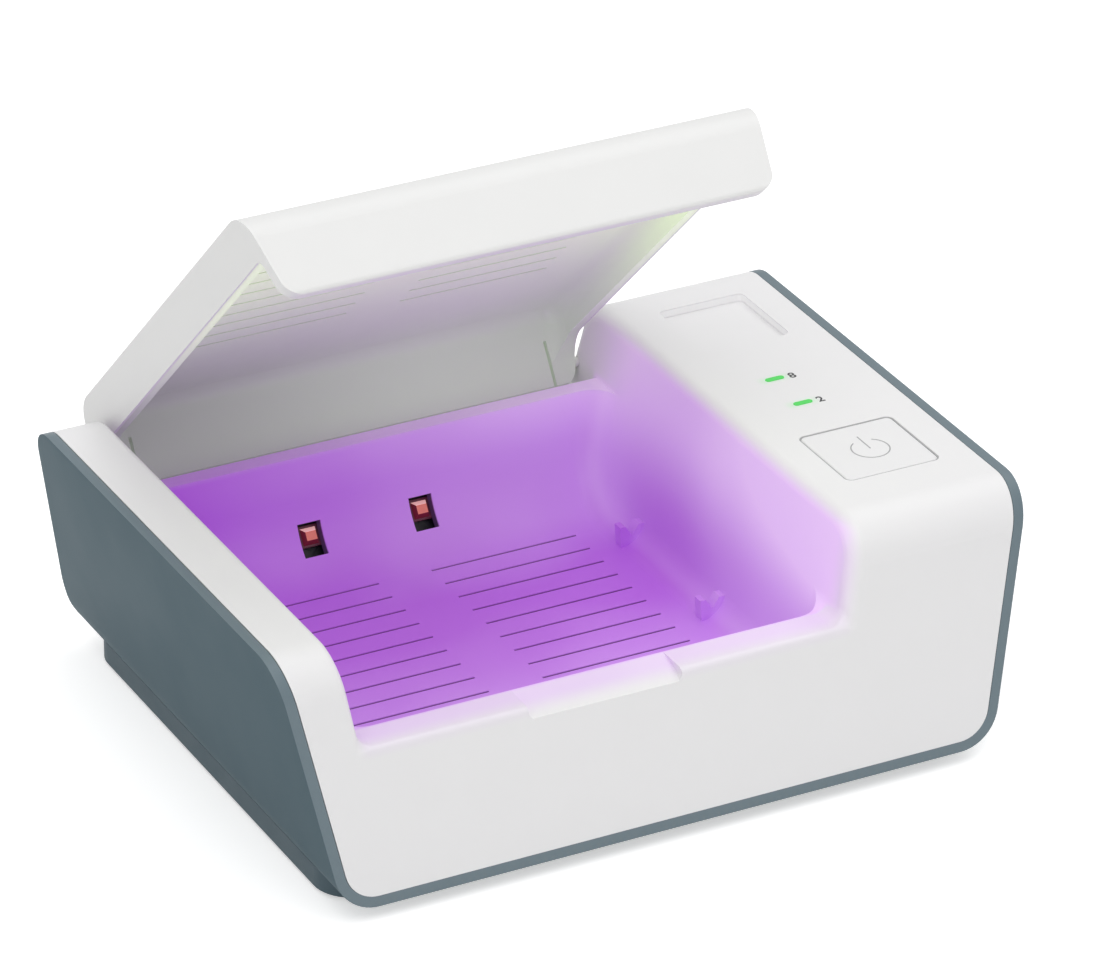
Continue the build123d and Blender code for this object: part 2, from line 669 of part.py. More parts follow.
def make_lid():
    """Closed lid: top plate, front lip, side cheeks, rear flap and the hinge ears with pins."""
    tip = LEDGE_Z + LIP_GAP
    heel = HINGE_Z - FLAP_BELOW_AXIS
    profile = [
        (front_y(tip), tip),
        (front_y(BODY_TOP), BODY_TOP),
        (rear_y(BODY_TOP), BODY_TOP),
        (rear_y(heel), heel),
        (rear_y(heel, FLAP_THICK), heel),
        (front_y(tip, LIP_THICK), tip),
    ]
    rounds = [0.6, LID_FOLD_R, REAR_TOP_R, FLAP_HEEL_R, 0.0, 0.0]
    lid = prism_x(profile, rounds, -FAR, FAR) & lid_bar(tip, 0.0, LID_CORNER_R)

    under = BODY_TOP - LID_PLATE
    low = tip - 5
    hollow_profile = [
        (front_y(low, LIP_THICK), low),
        (front_y(under, LIP_THICK), under),
        (rear_y(under, FLAP_THICK), under),
        (rear_y(low, FLAP_THICK), low),
    ]
    hollow = prism_x(hollow_profile, [0.0, LID_INNER_R, LID_INNER_R, 0.0], -FAR, FAR)
    hollow = hollow & lid_bar(low, CHEEK_THICK, 0.0)
    side_edges = [
        edge
        for face in (hollow.faces().sort_by(Axis.X)[0], hollow.faces().sort_by(Axis.X)[-1])
        for edge in face.edges()
        if edge.center().Z > low + 0.01
    ]
    hollow = fillet(side_edges, LID_INNER_R)

    rim = BODY_TOP - RIM_DEPTH
    rim_profile = [
        (front_y(low, LIP_THICK), low),
        (front_y(rim, LIP_THICK), rim),
        (rear_y(rim, FLAP_THICK), rim),
        (rear_y(low, FLAP_THICK), low),
    ]
    lid = lid - hollow - prism_x(rim_profile, [0.0, 1.5, RIM_REAR_R, 0.0], -FAR, FAR)

    for side in (-1, 1):
        gap = LID_GAP_LEFT if side < 0 else LID_GAP_RIGHT
        ear_end = wall_x(side, HINGE_Z, -gap)
        slit = grown((ear_end - side * EAR_SLIT_X,) * 2, EAR_SLIT_WIDTH / 2)
        lid -= block(slit, (SHELF_REAR, FAR), (heel - 1, heel + EAR_SLIT_RISE))
        ends = sorted((ear_end - side * 1.5, wall_x(side, HINGE_Z) + side * HINGE_PIN_DEPTH))
        lid += rod_x(hinge_y(), HINGE_Z, *ends, HINGE_PIN_R)
    for row in range(GROOVE_ROWS):
        y = GROOVE_FIRST + GROOVE_PITCH * row
        for left, right in slit_spans():
            span = (left + GROOVE_SHIFT, right + GROOVE_SHIFT)
            lid -= block(span, grown((y, y), GROOVE_WIDTH / 2), (under - 1, under + GROOVE_DEPTH))
    return lid


def opened(piece):
    """A closed lid piece turned about the hinge axis to the open rest position."""
    axis = Axis((0, hinge_y(), HINGE_Z), (1, 0, 0))
    return piece.rotate(axis, -LID_OPEN_DEG)


# ---- Console pieces --------------------------------------------------------------------------
def make_button():
    """Power button: flush cap with a flange under the shell's top."""
    low = top_underside() - BUTTON_LIFT_GAP - BUTTON_FLANGE_H
    cap = prism_z(grown(BUTTON_X, -BUTTON_GROOVE), grown(BUTTON_Y, -BUTTON_GROOVE),
                  BUTTON_CORNER_R - BUTTON_GROOVE, low, BODY_TOP)
    cap = fillet(cap.edges().group_by(Axis.Z)[-1], BUTTON_GROOVE)
    flange = prism_z(grown(BUTTON_X, BUTTON_FLANGE), grown(BUTTON_Y, BUTTON_FLANGE),
                     BUTTON_CORNER_R, low, low + BUTTON_FLANGE_H)
    stem = pillar(middle(BUTTON_X), middle(BUTTON_Y), plunger_top(), low + 0.5, PLUNGER_R + 0.6)
    return cap + flange + stem


def plunger_top():
    """Height of the switch plunger's upper face at rest."""
    return board_top() + SWITCH_H + BUTTON_TRAVEL + 0.15


def make_switch_housing():
    """Tactile switch housing on the main board."""
    x, y = middle(BUTTON_X), middle(BUTTON_Y)
    half = SWITCH_SIZE / 2
    top = board_top() + SWITCH_H
    housing = prism_z(grown((x, x), half), grown((y, y), half), 0.5, board_top(), top)
    depth = PLUNGER_SEAT + BUTTON_TRAVEL + 0.1
    return housing - pillar(x, y, top - depth, top + 1, PLUNGER_R + PLUNGER_FIT)


def make_switch_plunger():
    """Plunger of the tactile switch."""
    low = board_top() + SWITCH_H - PLUNGER_SEAT
    return pillar(middle(BUTTON_X), middle(BUTTON_Y), low, plunger_top(), PLUNGER_R)


def make_light_bars():
    """Two light guides from the indicator LEDs to the console's top."""
    bars = []
    led_top = board_top() + LED_SIZE[2]
    under = top_underside()
    for y in LIGHT_ROWS:
        rows = grown((y, y), LIGHT_WIDTH / 2 - LIGHT_FIT)
        span = grown(LIGHT_X, -LIGHT_FIT)
        bar = block(span, rows, (led_top + 0.2, BODY_TOP))
        bar += block(grown(LIGHT_X, LIGHT_FLANGE), grown((y, y), LIGHT_WIDTH / 2 + LIGHT_FLANGE),
                     (under - LIGHT_FLANGE, under))
        bars.append(bar)
    return bars


def make_indicator_leds():
    """Two small LEDs under the light guides."""
    leds = []
    for y in LIGHT_ROWS:
        x = middle(LIGHT_X)
        z = (board_top(), board_top() + LED_SIZE[2])
        leds.append(block(grown((x, x), LED_SIZE[0] / 2), grown((y, y), LED_SIZE[1] / 2), z))
    return leds


# ---- Main board ------------------------------------------------------------------------------
def make_main_board():
    """Circuit board under the console."""
    board = prism_z(BOARD_X, BOARD_Y, 1.0, BOARD_Z, board_top())
    for x, y in BOARD_SCREWS:
        board -= pillar(x, y, BOARD_Z - 1, board_top() + 1, SMALL_SCREW_R + 0.15)
    return board


def pan_screw(length):
    """Pan head screw with its shaft along +Z and the seat of its head at Z = 0."""
    low = (Align.CENTER, Align.CENTER, Align.MAX)
    head = Cylinder(SMALL_HEAD_R, SMALL_HEAD_H, align=low)
    head = fillet(head.edges().sort_by(Axis.Z)[0], SMALL_HEAD_H / 3)
    shaft = pillar(0, 0, -0.1, length, SMALL_SCREW_R)
    slot = block(grown((0, 0), 0.2), grown((0, 0), 1.1), (-SMALL_HEAD_H - 1, -SMALL_HEAD_H + 0.45))
    return head + shaft - slot


def make_board_screws():
    """Screws that hold the main board to the shell's bosses."""
    length = BOARD_THICK + 3.4
    return [Pos(x, y, BOARD_Z) * pan_screw(length) for x, y in BOARD_SCREWS]


def make_controller_chip():
    """Controller on the main board."""
    x, y = CHIP_CENTRE
    half = CHIP_SIZE / 2
    chip = block(grown((x, x), half), grown((y, y), half), (board_top(), board_top() + CHIP_H))
    return chamfer(chip.edges().group_by(Axis.Z)[-1], CHIP_H / 4)


def make_capacitors():
    """Two can capacitors on the main board."""
    cans = []
    for x, y in CAPACITORS:
        can = pillar(x, y, board_top(), board_top() + CAPACITOR_H, CAPACITOR_R)
        cans.append(fillet(can.edges().sort_by(Axis.Z)[-1], CAPACITOR_R / 6))
    return cans


def inlet_mouth_y():
    """Y of the power socket's mouth."""
    return rear_y(board_top() + INLET_HEIGHT) - INLET_RECESS


def make_inlet_form(grow, y_from, y_to):
    """Rounded bar with the power socket's outline."""
    wide = INLET_WIDTH / 2 + grow
    low = board_top() - grow
    high = board_top() + INLET_HEIGHT + grow
    corners = [
        (INLET_X - wide, low),
        (INLET_X + wide, low),
        (INLET_X + wide, high),
        (INLET_X - wide, high),
    ]
    return prism_y(corners, (high - low) / 2 - 0.05, y_from, y_to)


def make_power_inlet():
    """Metal shell of the power socket, closed at its inner end."""
    mouth = inlet_mouth_y()
    shell = make_inlet_form(0.0, mouth - INLET_LENGTH, mouth)
    return shell - make_inlet_form(-INLET_SKIN, mouth - INLET_LENGTH + INLET_SKIN, mouth + 1)


def make_inlet_tongue():
    """Insulating tongue inside the power socket."""
    back = inlet_mouth_y() - INLET_LENGTH + INLET_SKIN
    stop = make_inlet_form(-INLET_SKIN - 0.02, back, back + TONGUE_STOP)
    z = board_top() + INLET_HEIGHT / 2
    span = grown((INLET_X, INLET_X), TONGUE_WIDTH / 2)
    return stop + block(span, (back, inlet_mouth_y() - 0.8), grown((z, z), TONGUE_THICK / 2))


# ---- Ultraviolet lights ----------------------------------------------------------------------
def uv_board_radius():
    """Radius of the cove at which the light board's face lies."""
    return CHAMBER_COVE_R + SHELL_WALL + UV_BOARD_BACK


def make_uv_board():
    """Board behind the cove that carries the two ultraviolet chips."""
    radius = uv_board_radius()
    board = cove_block(UV_BOARD_X, UV_BOARD_WIDTH, radius, radius + UV_BOARD_THICK)
    for x in UV_SCREW_X:
        board -= cove_rod(x, SMALL_SCREW_R + 0.15, radius - 1, radius + UV_BOARD_THICK + 1)
    return board


def make_uv_chips():
    """Two ultraviolet chips with bevelled faces."""
    width, height, rise = UV_CHIP
    radius = uv_board_radius()
    chips = []
    for x in UV_CENTRES:
        plane = cove_plane(radius, UV_CHIP_SHIFT)
        sketch = Pos(x, 0) * Rectangle(width, height)
        chips.append(extrude(plane * sketch, amount=rise, taper=14))
    return chips


def make_uv_screws():
    """Two screws that hold the light board."""
    radius = uv_board_radius() + UV_BOARD_THICK
    length = UV_BOARD_THICK + UV_BOARD_BACK + 0.6
    plane = cove_plane(radius)
    return [plane * Pos(x, 0, 0) * pan_screw(length) for x in UV_SCREW_X]


# ---- Air path --------------------------------------------------------------------------------
def tray_x():
    """X range of the air tray."""
    return grown((slit_spans()[0][0], slit_spans()[1][1]), TRAY_MARGIN)


def tray_y():
    """Y range of the air tray."""
    return grown((slit_rows()[-1], slit_rows()[0]), TRAY_MARGIN)


def tray_z():
    """Z range of the air tray."""
    return (BAND_Z + TRAY_FIT, CHAMBER_FLOOR - SHELL_WALL - TRAY_FIT)


def throat_y():
    """Y range of the duct's throat."""
    return (DUCT_FRONT, DUCT_FRONT + THROAT_DEPTH)


def heater_z():
    """Height of the heater plate's underside."""
    return tray_z()[0] + TRAY_WALL + HEATER_PLATE_RISE


def heater_screw_places():
    """X, Y of the four corners where the heater plate is carried."""
    half_x = HEATER_PLATE[0] / 2 - HEATER_SCREW_INSET
    half_y = HEATER_PLATE[1] / 2 - HEATER_SCREW_INSET
    centre_y = middle(tray_y())
    return [(CENTRE_X + sx * half_x, centre_y + sy * half_y) for sx in (-1, 1) for sy in (-1, 1)]


def make_air_tray():
    """Shallow tray under the chamber floor that spreads the warm air to the slits."""
    tray = prism_z(tray_x(), tray_y(), 2.0, *tray_z())
    inner_x, inner_y = grown(tray_x(), -TRAY_WALL), grown(tray_y(), -TRAY_WALL)
    low, high = tray_z()
    tray -= prism_z(inner_x, inner_y, 1.2, low + TRAY_WALL, high + 1)
    gate = grown(throat_y(), -DUCT_WALL)
    tray -= block((tray_x()[1] - 3, tray_x()[1] + 3), gate, (low + TRAY_WALL, high + 1))
    for x, y in heater_screw_places():
        tray += pillar(x, y, low, heater_z(), HEATER_POST_R)
        tray -= pillar(x, y, low + TRAY_WALL, heater_z() + 1, SMALL_SCREW_R + SCREW_FIT)
    return tray


def make_heater_plate():
    """Aluminium plate that spreads the heat under the slits."""
    size_x, size_y, thick = HEATER_PLATE
    centre_y = middle(tray_y())
    plan = (grown((CENTRE_X,) * 2, size_x / 2), grown((centre_y,) * 2, size_y / 2))
    plate = prism_z(*plan, 2.0, heater_z(), heater_z() + thick)
    for x, y in heater_screw_places():
        plate -= pillar(x, y, heater_z() - 1, heater_z() + thick + 1, SMALL_SCREW_R + 0.15)
    return plate


def make_heater_core():
    """Ceramic heating element bonded under the plate."""
    size_x, size_y, thick = HEATER_CORE
    centre_y = middle(tray_y())
    return block(grown((CENTRE_X,) * 2, size_x / 2), grown((centre_y,) * 2, size_y / 2),
                 (heater_z() - thick, heater_z()))


def make_thermal_fuse():
    """Thermal fuse that lies on the heater plate, in a flat clip."""
    top = heater_z() + HEATER_PLATE[2]
    y = middle(tray_y()) + HEATER_PLATE[1] / 4
    span = grown((CENTRE_X,) * 2, FUSE_LENGTH / 2)
    barrel = rod_x(y, top + FUSE_R, *span, FUSE_R)
    saddle = block(grown((CENTRE_X,) * 2, FUSE_LENGTH / 4), grown((y, y), FUSE_R), (top, top + FUSE_R))
    return barrel + saddle


def make_heater_screws():
    """Four screws that hold the heater plate to the tray's posts."""
    top = heater_z() + HEATER_PLATE[2]
    length = HEATER_PLATE[2] + HEATER_PLATE_RISE - 0.4
    return [Pos(x, y, top) * Rot(180, 0, 0) * pan_screw(length) for x, y in heater_screw_places()]


def fan_corners():
    """X, Z offsets of the two fan screws from the fan's axis."""
    half = FAN_SIZE / 2 - FAN_SCREW_INSET
    return ((-half, half), (half, -half))


def duct_x():
    """X range of the air duct, as wide as the fan."""
    return grown((FAN_X,) * 2, FAN_SIZE / 2)


def duct_z():
    """Z range of the air duct, as high as the fan."""
    return grown((FAN_Z,) * 2, FAN_SIZE / 2)


def make_air_duct():
    """Duct from the fan, turning down and left into the tray."""
    main = block(duct_x(), (DUCT_FRONT, FAN_FRONT), duct_z())
    low = BAND_Z + TRAY_FIT
    throat_top = tray_z()[1] - TRAY_FIT
    throat = block((tray_x()[1] + TRAY_FIT, THROAT_RIGHT), throat_y(), (low, throat_top))
    duct = main + throat
    duct -= block(grown(duct_x(), -DUCT_WALL), (DUCT_FRONT + DUCT_WALL, FAN_FRONT + 1),
                  grown(duct_z(), -DUCT_WALL))
    bore_z = (low + DUCT_WALL, throat_top - DUCT_WALL)
    duct -= block((tray_x()[1] - 1, THROAT_RIGHT - DUCT_WALL), grown(throat_y(), -DUCT_WALL), bore_z)
    drop_x = (duct_x()[0] + DUCT_WALL, THROAT_RIGHT - DUCT_WALL)
    duct -= block(drop_x, grown(throat_y(), -DUCT_WALL), (low + DUCT_WALL, duct_z()[0] + 2))
    for dx, dz in fan_corners():
        x, z = FAN_X + dx, FAN_Z + dz
        post_x, post_z = grown((x, x), FAN_SCREW_INSET), grown((z, z), FAN_SCREW_INSET)
        duct += block(post_x, (FAN_FRONT - 7, FAN_FRONT), post_z)
        duct -= rod_y(x, z, FAN_FRONT - 5, FAN_FRONT + 1, FAN_SCREW_R + SCREW_FIT)
    return duct


def make_fan_frame():
    """Square fan frame with a hub carried on four struts at the rear."""
    rear = FAN_FRONT + FAN_DEPTH
    half = FAN_SIZE / 2
    corners = [
        (FAN_X - half, FAN_Z - half),
        (FAN_X + half, FAN_Z - half),
        (FAN_X + half, FAN_Z + half),
        (FAN_X - half, FAN_Z + half),
    ]
    frame = prism_y(corners, 1.2, FAN_FRONT, rear)
    frame -= rod_y(FAN_X, FAN_Z, FAN_FRONT - 1, rear + 1, FAN_BORE_R)
    frame += block(grown((FAN_X,) * 2, FAN_BORE_R + 0.3), (rear - 1.2, rear), grown((FAN_Z,) * 2, 0.6))
    frame += block(grown((FAN_X,) * 2, 0.6), (rear - 1.2, rear), grown((FAN_Z,) * 2, FAN_BORE_R + 0.3))
    frame += rod_y(FAN_X, FAN_Z, rear - 1.8, rear, FAN_HUB_R)
    frame -= rod_y(FAN_X, FAN_Z, rear - 3, rear - 0.4, FAN_SHAFT_R + FAN_SHAFT_FIT)
    for dx, dz in fan_corners():
        hole = FAN_SCREW_R + SCREW_FIT
        frame -= rod_y(FAN_X + dx, FAN_Z + dz, FAN_FRONT - 1, rear + 1, hole)
    return frame


def make_fan_rotor():
    """Fan hub, blades and shaft in one turning piece."""
    front = FAN_FRONT + 0.6
    rear = FAN_FRONT + FAN_DEPTH - 2.1
    rotor = rod_y(FAN_X, FAN_Z, front, rear, FAN_HUB_R)
    rotor = fillet(rotor.edges().sort_by(Axis.Y)[0], 0.6)
    reach = FAN_BORE_R - FAN_BLADE_GAP
    blade_root = FAN_HUB_R - 0.4
    for index in range(FAN_BLADES):
        blade = Pos(0, (blade_root + reach) / 2, 0) * Box(0.5, reach - blade_root, rear - front + 0.4)
        blade = Rot(0, 35, 0) * blade
        blade = blade & Cylinder(reach, rear - front - 0.6)
        around = Pos(FAN_X, (front + rear) / 2, FAN_Z) * Rot(90, 0, 0)
        rotor += around * Rot(0, 0, index * 360 / FAN_BLADES) * blade
    return rotor + rod_y(FAN_X, FAN_Z, rear - 1, FAN_FRONT + FAN_DEPTH - 0.6, FAN_SHAFT_R)


def make_fan_screws():
    """Two screws through the fan into the duct."""
    rear = FAN_FRONT + FAN_DEPTH
    screws = []
    for dx, dz in fan_corners():
        x, z = FAN_X + dx, FAN_Z + dz
        shaft = rod_y(x, z, rear - FAN_SCREW_LENGTH, rear + 0.1, FAN_SCREW_R)
        screws.append(shaft + rod_y(x, z, rear, rear + 0.8, 2 * FAN_SCREW_R))
    return screws


# ---- Assembly --------------------------------------------------------------------------------
def make_nodes():
    """All pieces by name, each a list of solids."""
    return {
        "upper_shell": [make_upper_shell()],
        "cradle": [make_cradle()],
        "base_plate": [make_base_plate()],
        "rubber_feet": make_feet(),
        "base_screws": make_base_screws(),
        "lid": [opened(make_lid())],
        "power_button": [make_button()],
        "switch_housing": [make_switch_housing()],
        "switch_plunger": [make_switch_plunger()],
        "light_bars": make_light_bars(),
        "indicator_leds": make_indicator_leds(),
        "main_board": [make_main_board()],
        "board_screws": make_board_screws(),
        "controller_chip": [make_controller_chip()],
        "capacitors": make_capacitors(),
        "power_inlet": [make_power_inlet()],
        "inlet_tongue": [make_inlet_tongue()],
        "uv_board": [make_uv_board()],
        "uv_chips": make_uv_chips(),
        "uv_board_screws": make_uv_screws(),
        "air_tray": [make_air_tray()],
        "heater_plate": [make_heater_plate()],
        "heater_core": [make_heater_core()],
        "heater_screws": make_heater_screws(),
        "thermal_fuse": [make_thermal_fuse()],
        "air_duct": [make_air_duct()],
        "fan_frame": [make_fan_frame()],
        "fan_rotor": [make_fan_rotor()],
        "fan_screws": make_fan_screws(),
    }


def main():
    """Build every piece, centre the assembly in Y and write one file for each node."""
    os.makedirs("parts", exist_ok=True)
    nodes = {name: [s for part in pieces for s in part.solids()] for name, pieces in make_nodes().items()}
    boxes = [solid.bounding_box() for solids in nodes.values() for solid in solids]
    front = min(box.min.Y for box in boxes)
    rear = max(box.max.Y for box in boxes)
    centre_y = (front + rear) / 2
    for name, solids in nodes.items():
        placed = [Pos(0, -centre_y, 0) * solid for solid in solids]
        export_step(Compound(placed), f"parts/{name}.step")
    print("centre_y", round(centre_y, 4), "hinge", round(hinge_y() - centre_y, 4), HINGE_Z)
    print("fan axis", FAN_X, round(FAN_FRONT + FAN_DEPTH / 2 - centre_y, 4), FAN_Z)


main()
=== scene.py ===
"""Looks of a tabletop hearing aid dryer: finishes, edges, lenses, printed marks and the studio.

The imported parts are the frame. Every size here is in millimetres unless its name says otherwise,
and X, Y and Z are the frame's own axes: +X to the console, -Y to the front, +Z up. Places along
the body are counted from the foot of the front face, and depth() turns them into the frame's Y.
"""

import logging
import math
from dataclasses import dataclass, field
from enum import Enum

import bmesh
import bpy
from mathutils import Matrix, Vector


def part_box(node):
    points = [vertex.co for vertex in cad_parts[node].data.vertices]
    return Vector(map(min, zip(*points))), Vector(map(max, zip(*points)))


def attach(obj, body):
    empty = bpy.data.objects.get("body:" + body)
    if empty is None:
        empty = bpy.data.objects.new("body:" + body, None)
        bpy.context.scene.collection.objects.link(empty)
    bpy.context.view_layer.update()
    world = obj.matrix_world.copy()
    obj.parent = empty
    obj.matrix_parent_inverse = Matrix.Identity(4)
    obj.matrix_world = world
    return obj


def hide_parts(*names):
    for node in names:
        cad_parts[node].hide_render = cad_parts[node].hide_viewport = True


MM = 0.001
HOUSING = "housing"
BUTTON = "power_button"
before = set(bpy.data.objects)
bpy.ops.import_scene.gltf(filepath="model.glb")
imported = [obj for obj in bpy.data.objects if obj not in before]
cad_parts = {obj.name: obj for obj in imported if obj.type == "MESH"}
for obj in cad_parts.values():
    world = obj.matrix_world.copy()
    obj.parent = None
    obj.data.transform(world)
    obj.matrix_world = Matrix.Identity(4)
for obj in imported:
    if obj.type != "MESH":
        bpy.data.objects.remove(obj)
FRONT_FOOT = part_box("upper_shell")[0].y / MM

Triple = tuple[float, float, float]
Colour = Triple
Span = tuple[float, float]
Socket = bpy.types.NodeSocket
Axes = tuple[Socket, Socket, Socket]

NOISE_BAND: Span = (0.25, 0.75)
LIGHT_BAR_X: Span = (41.4, 44.2)
LIGHT_BAR_ROWS: tuple[float, float] = (41.7, 50.2)
SQUARE_ON = 0.9  # share of a normal along an axis, from which a face looks that way
PARALLEL = 1e-4  # sine of the angle up to which an edge counts as upright
FINE_STEPS = 2  # segments of a fine rounded edge

log = logging.getLogger("dryer")


class Grain(Enum):
    """How coarse a moulded surface's texture is, as the size of its bumps in millimetres."""

    POLISHED = 0.0
    SATIN = 0.16
    SPARK = 0.34


def depth(from_front: float) -> float:
    """Y in the frame of a place that is so far behind the foot of the front face."""
    return from_front + FRONT_FOOT


def rgba(colour: Colour) -> tuple[float, float, float, float]:
    """A colour with full alpha."""
    return (*colour, 1.0)


# ---- Node trees ------------------------------------------------------------------------------
class Sheet:
    """A material's node tree, with short calls that add and wire nodes."""

    def __init__(self, name: str) -> None:
        """Start a material with one shader and an output.

        Args:
            name: the material's name.
        """
        self.material = bpy.data.materials.new(name)
        self.material.use_nodes = True
        self.tree = self.material.node_tree
        self.tree.nodes.clear()
        output = self.add("ShaderNodeOutputMaterial")
        self.shader = self.add("ShaderNodeBsdfPrincipled")
        self.wire(self.shader.outputs["BSDF"], output.inputs["Surface"])

    def wire(self, source: Socket, target: Socket) -> None:
        """Join two sockets."""
        self.tree.links.new(source, target)

    def add(self, kind: str, **settings: object) -> bpy.types.Node:
        """Add a node.

        Args:
            kind: the node's type.
            **settings: properties of the node.

        Returns:
            The new node.
        """
        node = self.tree.nodes.new(kind)
        for key, value in settings.items():
            setattr(node, key, value)
        return node

    def feed(self, socket: Socket, value: object) -> None:
        """Wire a socket to another one, or give it a constant.

        Args:
            socket: the socket that is fed.
            value: the socket that it is wired to, or the constant.
        """
        if isinstance(value, bpy.types.NodeSocket):
            self.wire(value, socket)
        else:
            socket.default_value = value

    def place(self) -> Socket:
        """Object coordinates, in metres."""
        return self.add("ShaderNodeTexCoord").outputs["Object"]

    def axes(self) -> Axes:
        """Split the object coordinates.

        Returns:
            X, Y and Z in millimetres.
        """
        split = self.add("ShaderNodeSeparateXYZ")
        self.wire(self.place(), split.inputs[0])
        x, y, z = (self.math("MULTIPLY", out, 1 / MM) for out in split.outputs)
        return x, y, z

    def math(self, operation: str, *values: object) -> Socket:
        """Result of one Math node.

        Args:
            operation: name of the operation.
            *values: sockets or numbers.

        Returns:
            The result's socket.
        """
        node = self.add("ShaderNodeMath", operation=operation)
        for socket, value in zip(node.inputs, values):
            self.feed(socket, value)
        return node.outputs[0]

    def product(self, first: Socket, *others: object) -> Socket:
        """Multiply values.

        Args:
            first: the first value.
            *others: sockets or numbers.

        Returns:
            The product's socket.
        """
        for other in others:
            first = self.math("MULTIPLY", first, other)
        return first

    def total(self, first: Socket, *others: object) -> Socket:
        """Add values up.

        Args:
            first: the first value.
            *others: sockets or numbers.

        Returns:
            The sum's socket.
        """
        for other in others:
            first = self.math("ADD", first, other)
        return first

    def ramp(self, value: Socket, low: float, high: float, start: float = 0.0,
             end: float = 1.0) -> Socket:
        """Smooth change from start to end while value goes from low to high.

        Args:
            value: the socket that is followed.
            low: where the change begins.
            high: where it ends.
            start: result at low.
            end: result at high.

        Returns:
            The result's socket.
        """
        node = self.add("ShaderNodeMapRange", interpolation_type="SMOOTHSTEP")
        for key, number in (("From Min", low), ("From Max", high), ("To Min", start), ("To Max", end)):
            node.inputs[key].default_value = number
        self.wire(value, node.inputs["Value"])
        return node.outputs["Result"]

    def fade(self, value: Socket, edge: float, span: Span, start: float = 0.0,
             end: float = 1.0) -> Socket:
        """Smooth change across an edge.

        Args:
            value: the socket that is followed.
            edge: place of the edge.
            span: where the change begins and ends, counted from the edge.
            start: result where it begins.
            end: result where it ends.

        Returns:
            The result's socket.
        """
        return self.ramp(value, edge + span[0], edge + span[1], start, end)

    def remainder(self, share: Socket) -> Socket:
        """What a share leaves of the whole."""
        return self.math("SUBTRACT", 1.0, share)

    def between(self, value: Socket, span: Span, blur: float) -> Socket:
        """1 where value lies inside a span, with soft ends.

        Args:
            value: the socket that is followed.
            span: lowest and highest value inside.
            blur: width of the soft ends, outside the span.

        Returns:
            The result's socket.
        """
        low, high = span
        return self.product(self.ramp(value, low - blur, low), self.ramp(value, high + blur, high))

    def blend(self, factor: object, first: object, second: object) -> Socket:
        """Mix of two colours.

        Args:
            factor: share of the second colour.
            first: a colour or a socket.
            second: a colour or a socket.

        Returns:
            The mixed colour's socket.
        """
        node = self.add("ShaderNodeMix", data_type="RGBA")
        for socket, value in ((node.inputs["Factor"], factor), (node.inputs["A"], first),
                              (node.inputs["B"], second)):
            self.feed(socket, value)
        return node.outputs["Result"]

    def noise(self, size: float, detail: float = 2.0, stretch: Vector | None = None) -> Socket:
        """Noise from 0 to 1 whose blotches are about size millimetres across.

        Args:
            size: width of a blotch.
            detail: finer octaves on it.
            stretch: how much finer it is along each axis.

        Returns:
            The noise's socket.
        """
        source = self.place()
        if stretch is not None:
            mapping = self.add("ShaderNodeMapping")
            mapping.inputs["Scale"].default_value = stretch
            self.wire(source, mapping.inputs["Vector"])
            source = mapping.outputs["Vector"]
        node = self.add("ShaderNodeTexNoise")
        node.inputs["Scale"].default_value = 1 / (size * MM)
        node.inputs["Detail"].default_value = detail
        self.wire(source, node.inputs["Vector"])
        return node.outputs["Fac"]

    def bump(self, height: Socket, relief: float) -> None:
        """Give the shader a fine relief.

        Args:
            height: the socket of the height, from 0 to 1.
            relief: depth of the relief in millimetres.
        """
        node = self.add("ShaderNodeBump")
        node.inputs["Distance"].default_value = relief * MM
        self.wire(height, node.inputs["Height"])
        self.wire(node.outputs["Normal"], self.shader.inputs["Normal"])

    def set(self, **constants: object) -> None:
        """Set the shader's own sockets.

        Args:
            **constants: value of each socket, named in small letters with underscores for spaces.
        """
        for key, value in constants.items():
            socket = key.replace("_", " ").title().replace("Ior", "IOR")
            self.shader.inputs[socket].default_value = value


# ---- Finishes --------------------------------------------------------------------------------
@dataclass(frozen=True)
class Plastic:
    """Moulded plastic with a fine texture and a faint unevenness of colour and gloss."""

    name: str
    colour: Colour
    roughness: float
    grain: Grain = Grain.SATIN
    relief: float = 0.006
    unevenness: float = 0.02
    patch: float = 9.0
    gloss_spread: float = 0.03
    specular: float = 0.5

    def tint(self, sheet: Sheet) -> Socket:
        """Colour of the bare plastic, faintly uneven."""
        shade = tuple(channel * (1 - self.unevenness) for channel in self.colour)
        return sheet.blend(sheet.noise(self.patch), rgba(shade), rgba(self.colour))

    def surface(self, sheet: Sheet) -> None:
        """Wire the roughness and the moulded texture.

        Args:
            sheet: the material that is built.
        """
        spread = self.gloss_spread
        patches = sheet.noise(self.patch / 2, detail=3.0)
        rough = sheet.ramp(patches, *NOISE_BAND, self.roughness - spread, self.roughness + spread)
        sheet.wire(rough, sheet.shader.inputs["Roughness"])
        sheet.set(specular_ior_level=self.specular)
        if self.grain is not Grain.POLISHED:
            sheet.bump(sheet.noise(self.grain.value, detail=1.0), self.relief)

    def make(self) -> bpy.types.Material:
        """Build the material.

        Returns:
            The finished material.
        """
        sheet = Sheet(self.name)
        sheet.wire(self.tint(sheet), sheet.shader.inputs["Base Color"])
        self.surface(sheet)
        return sheet.material


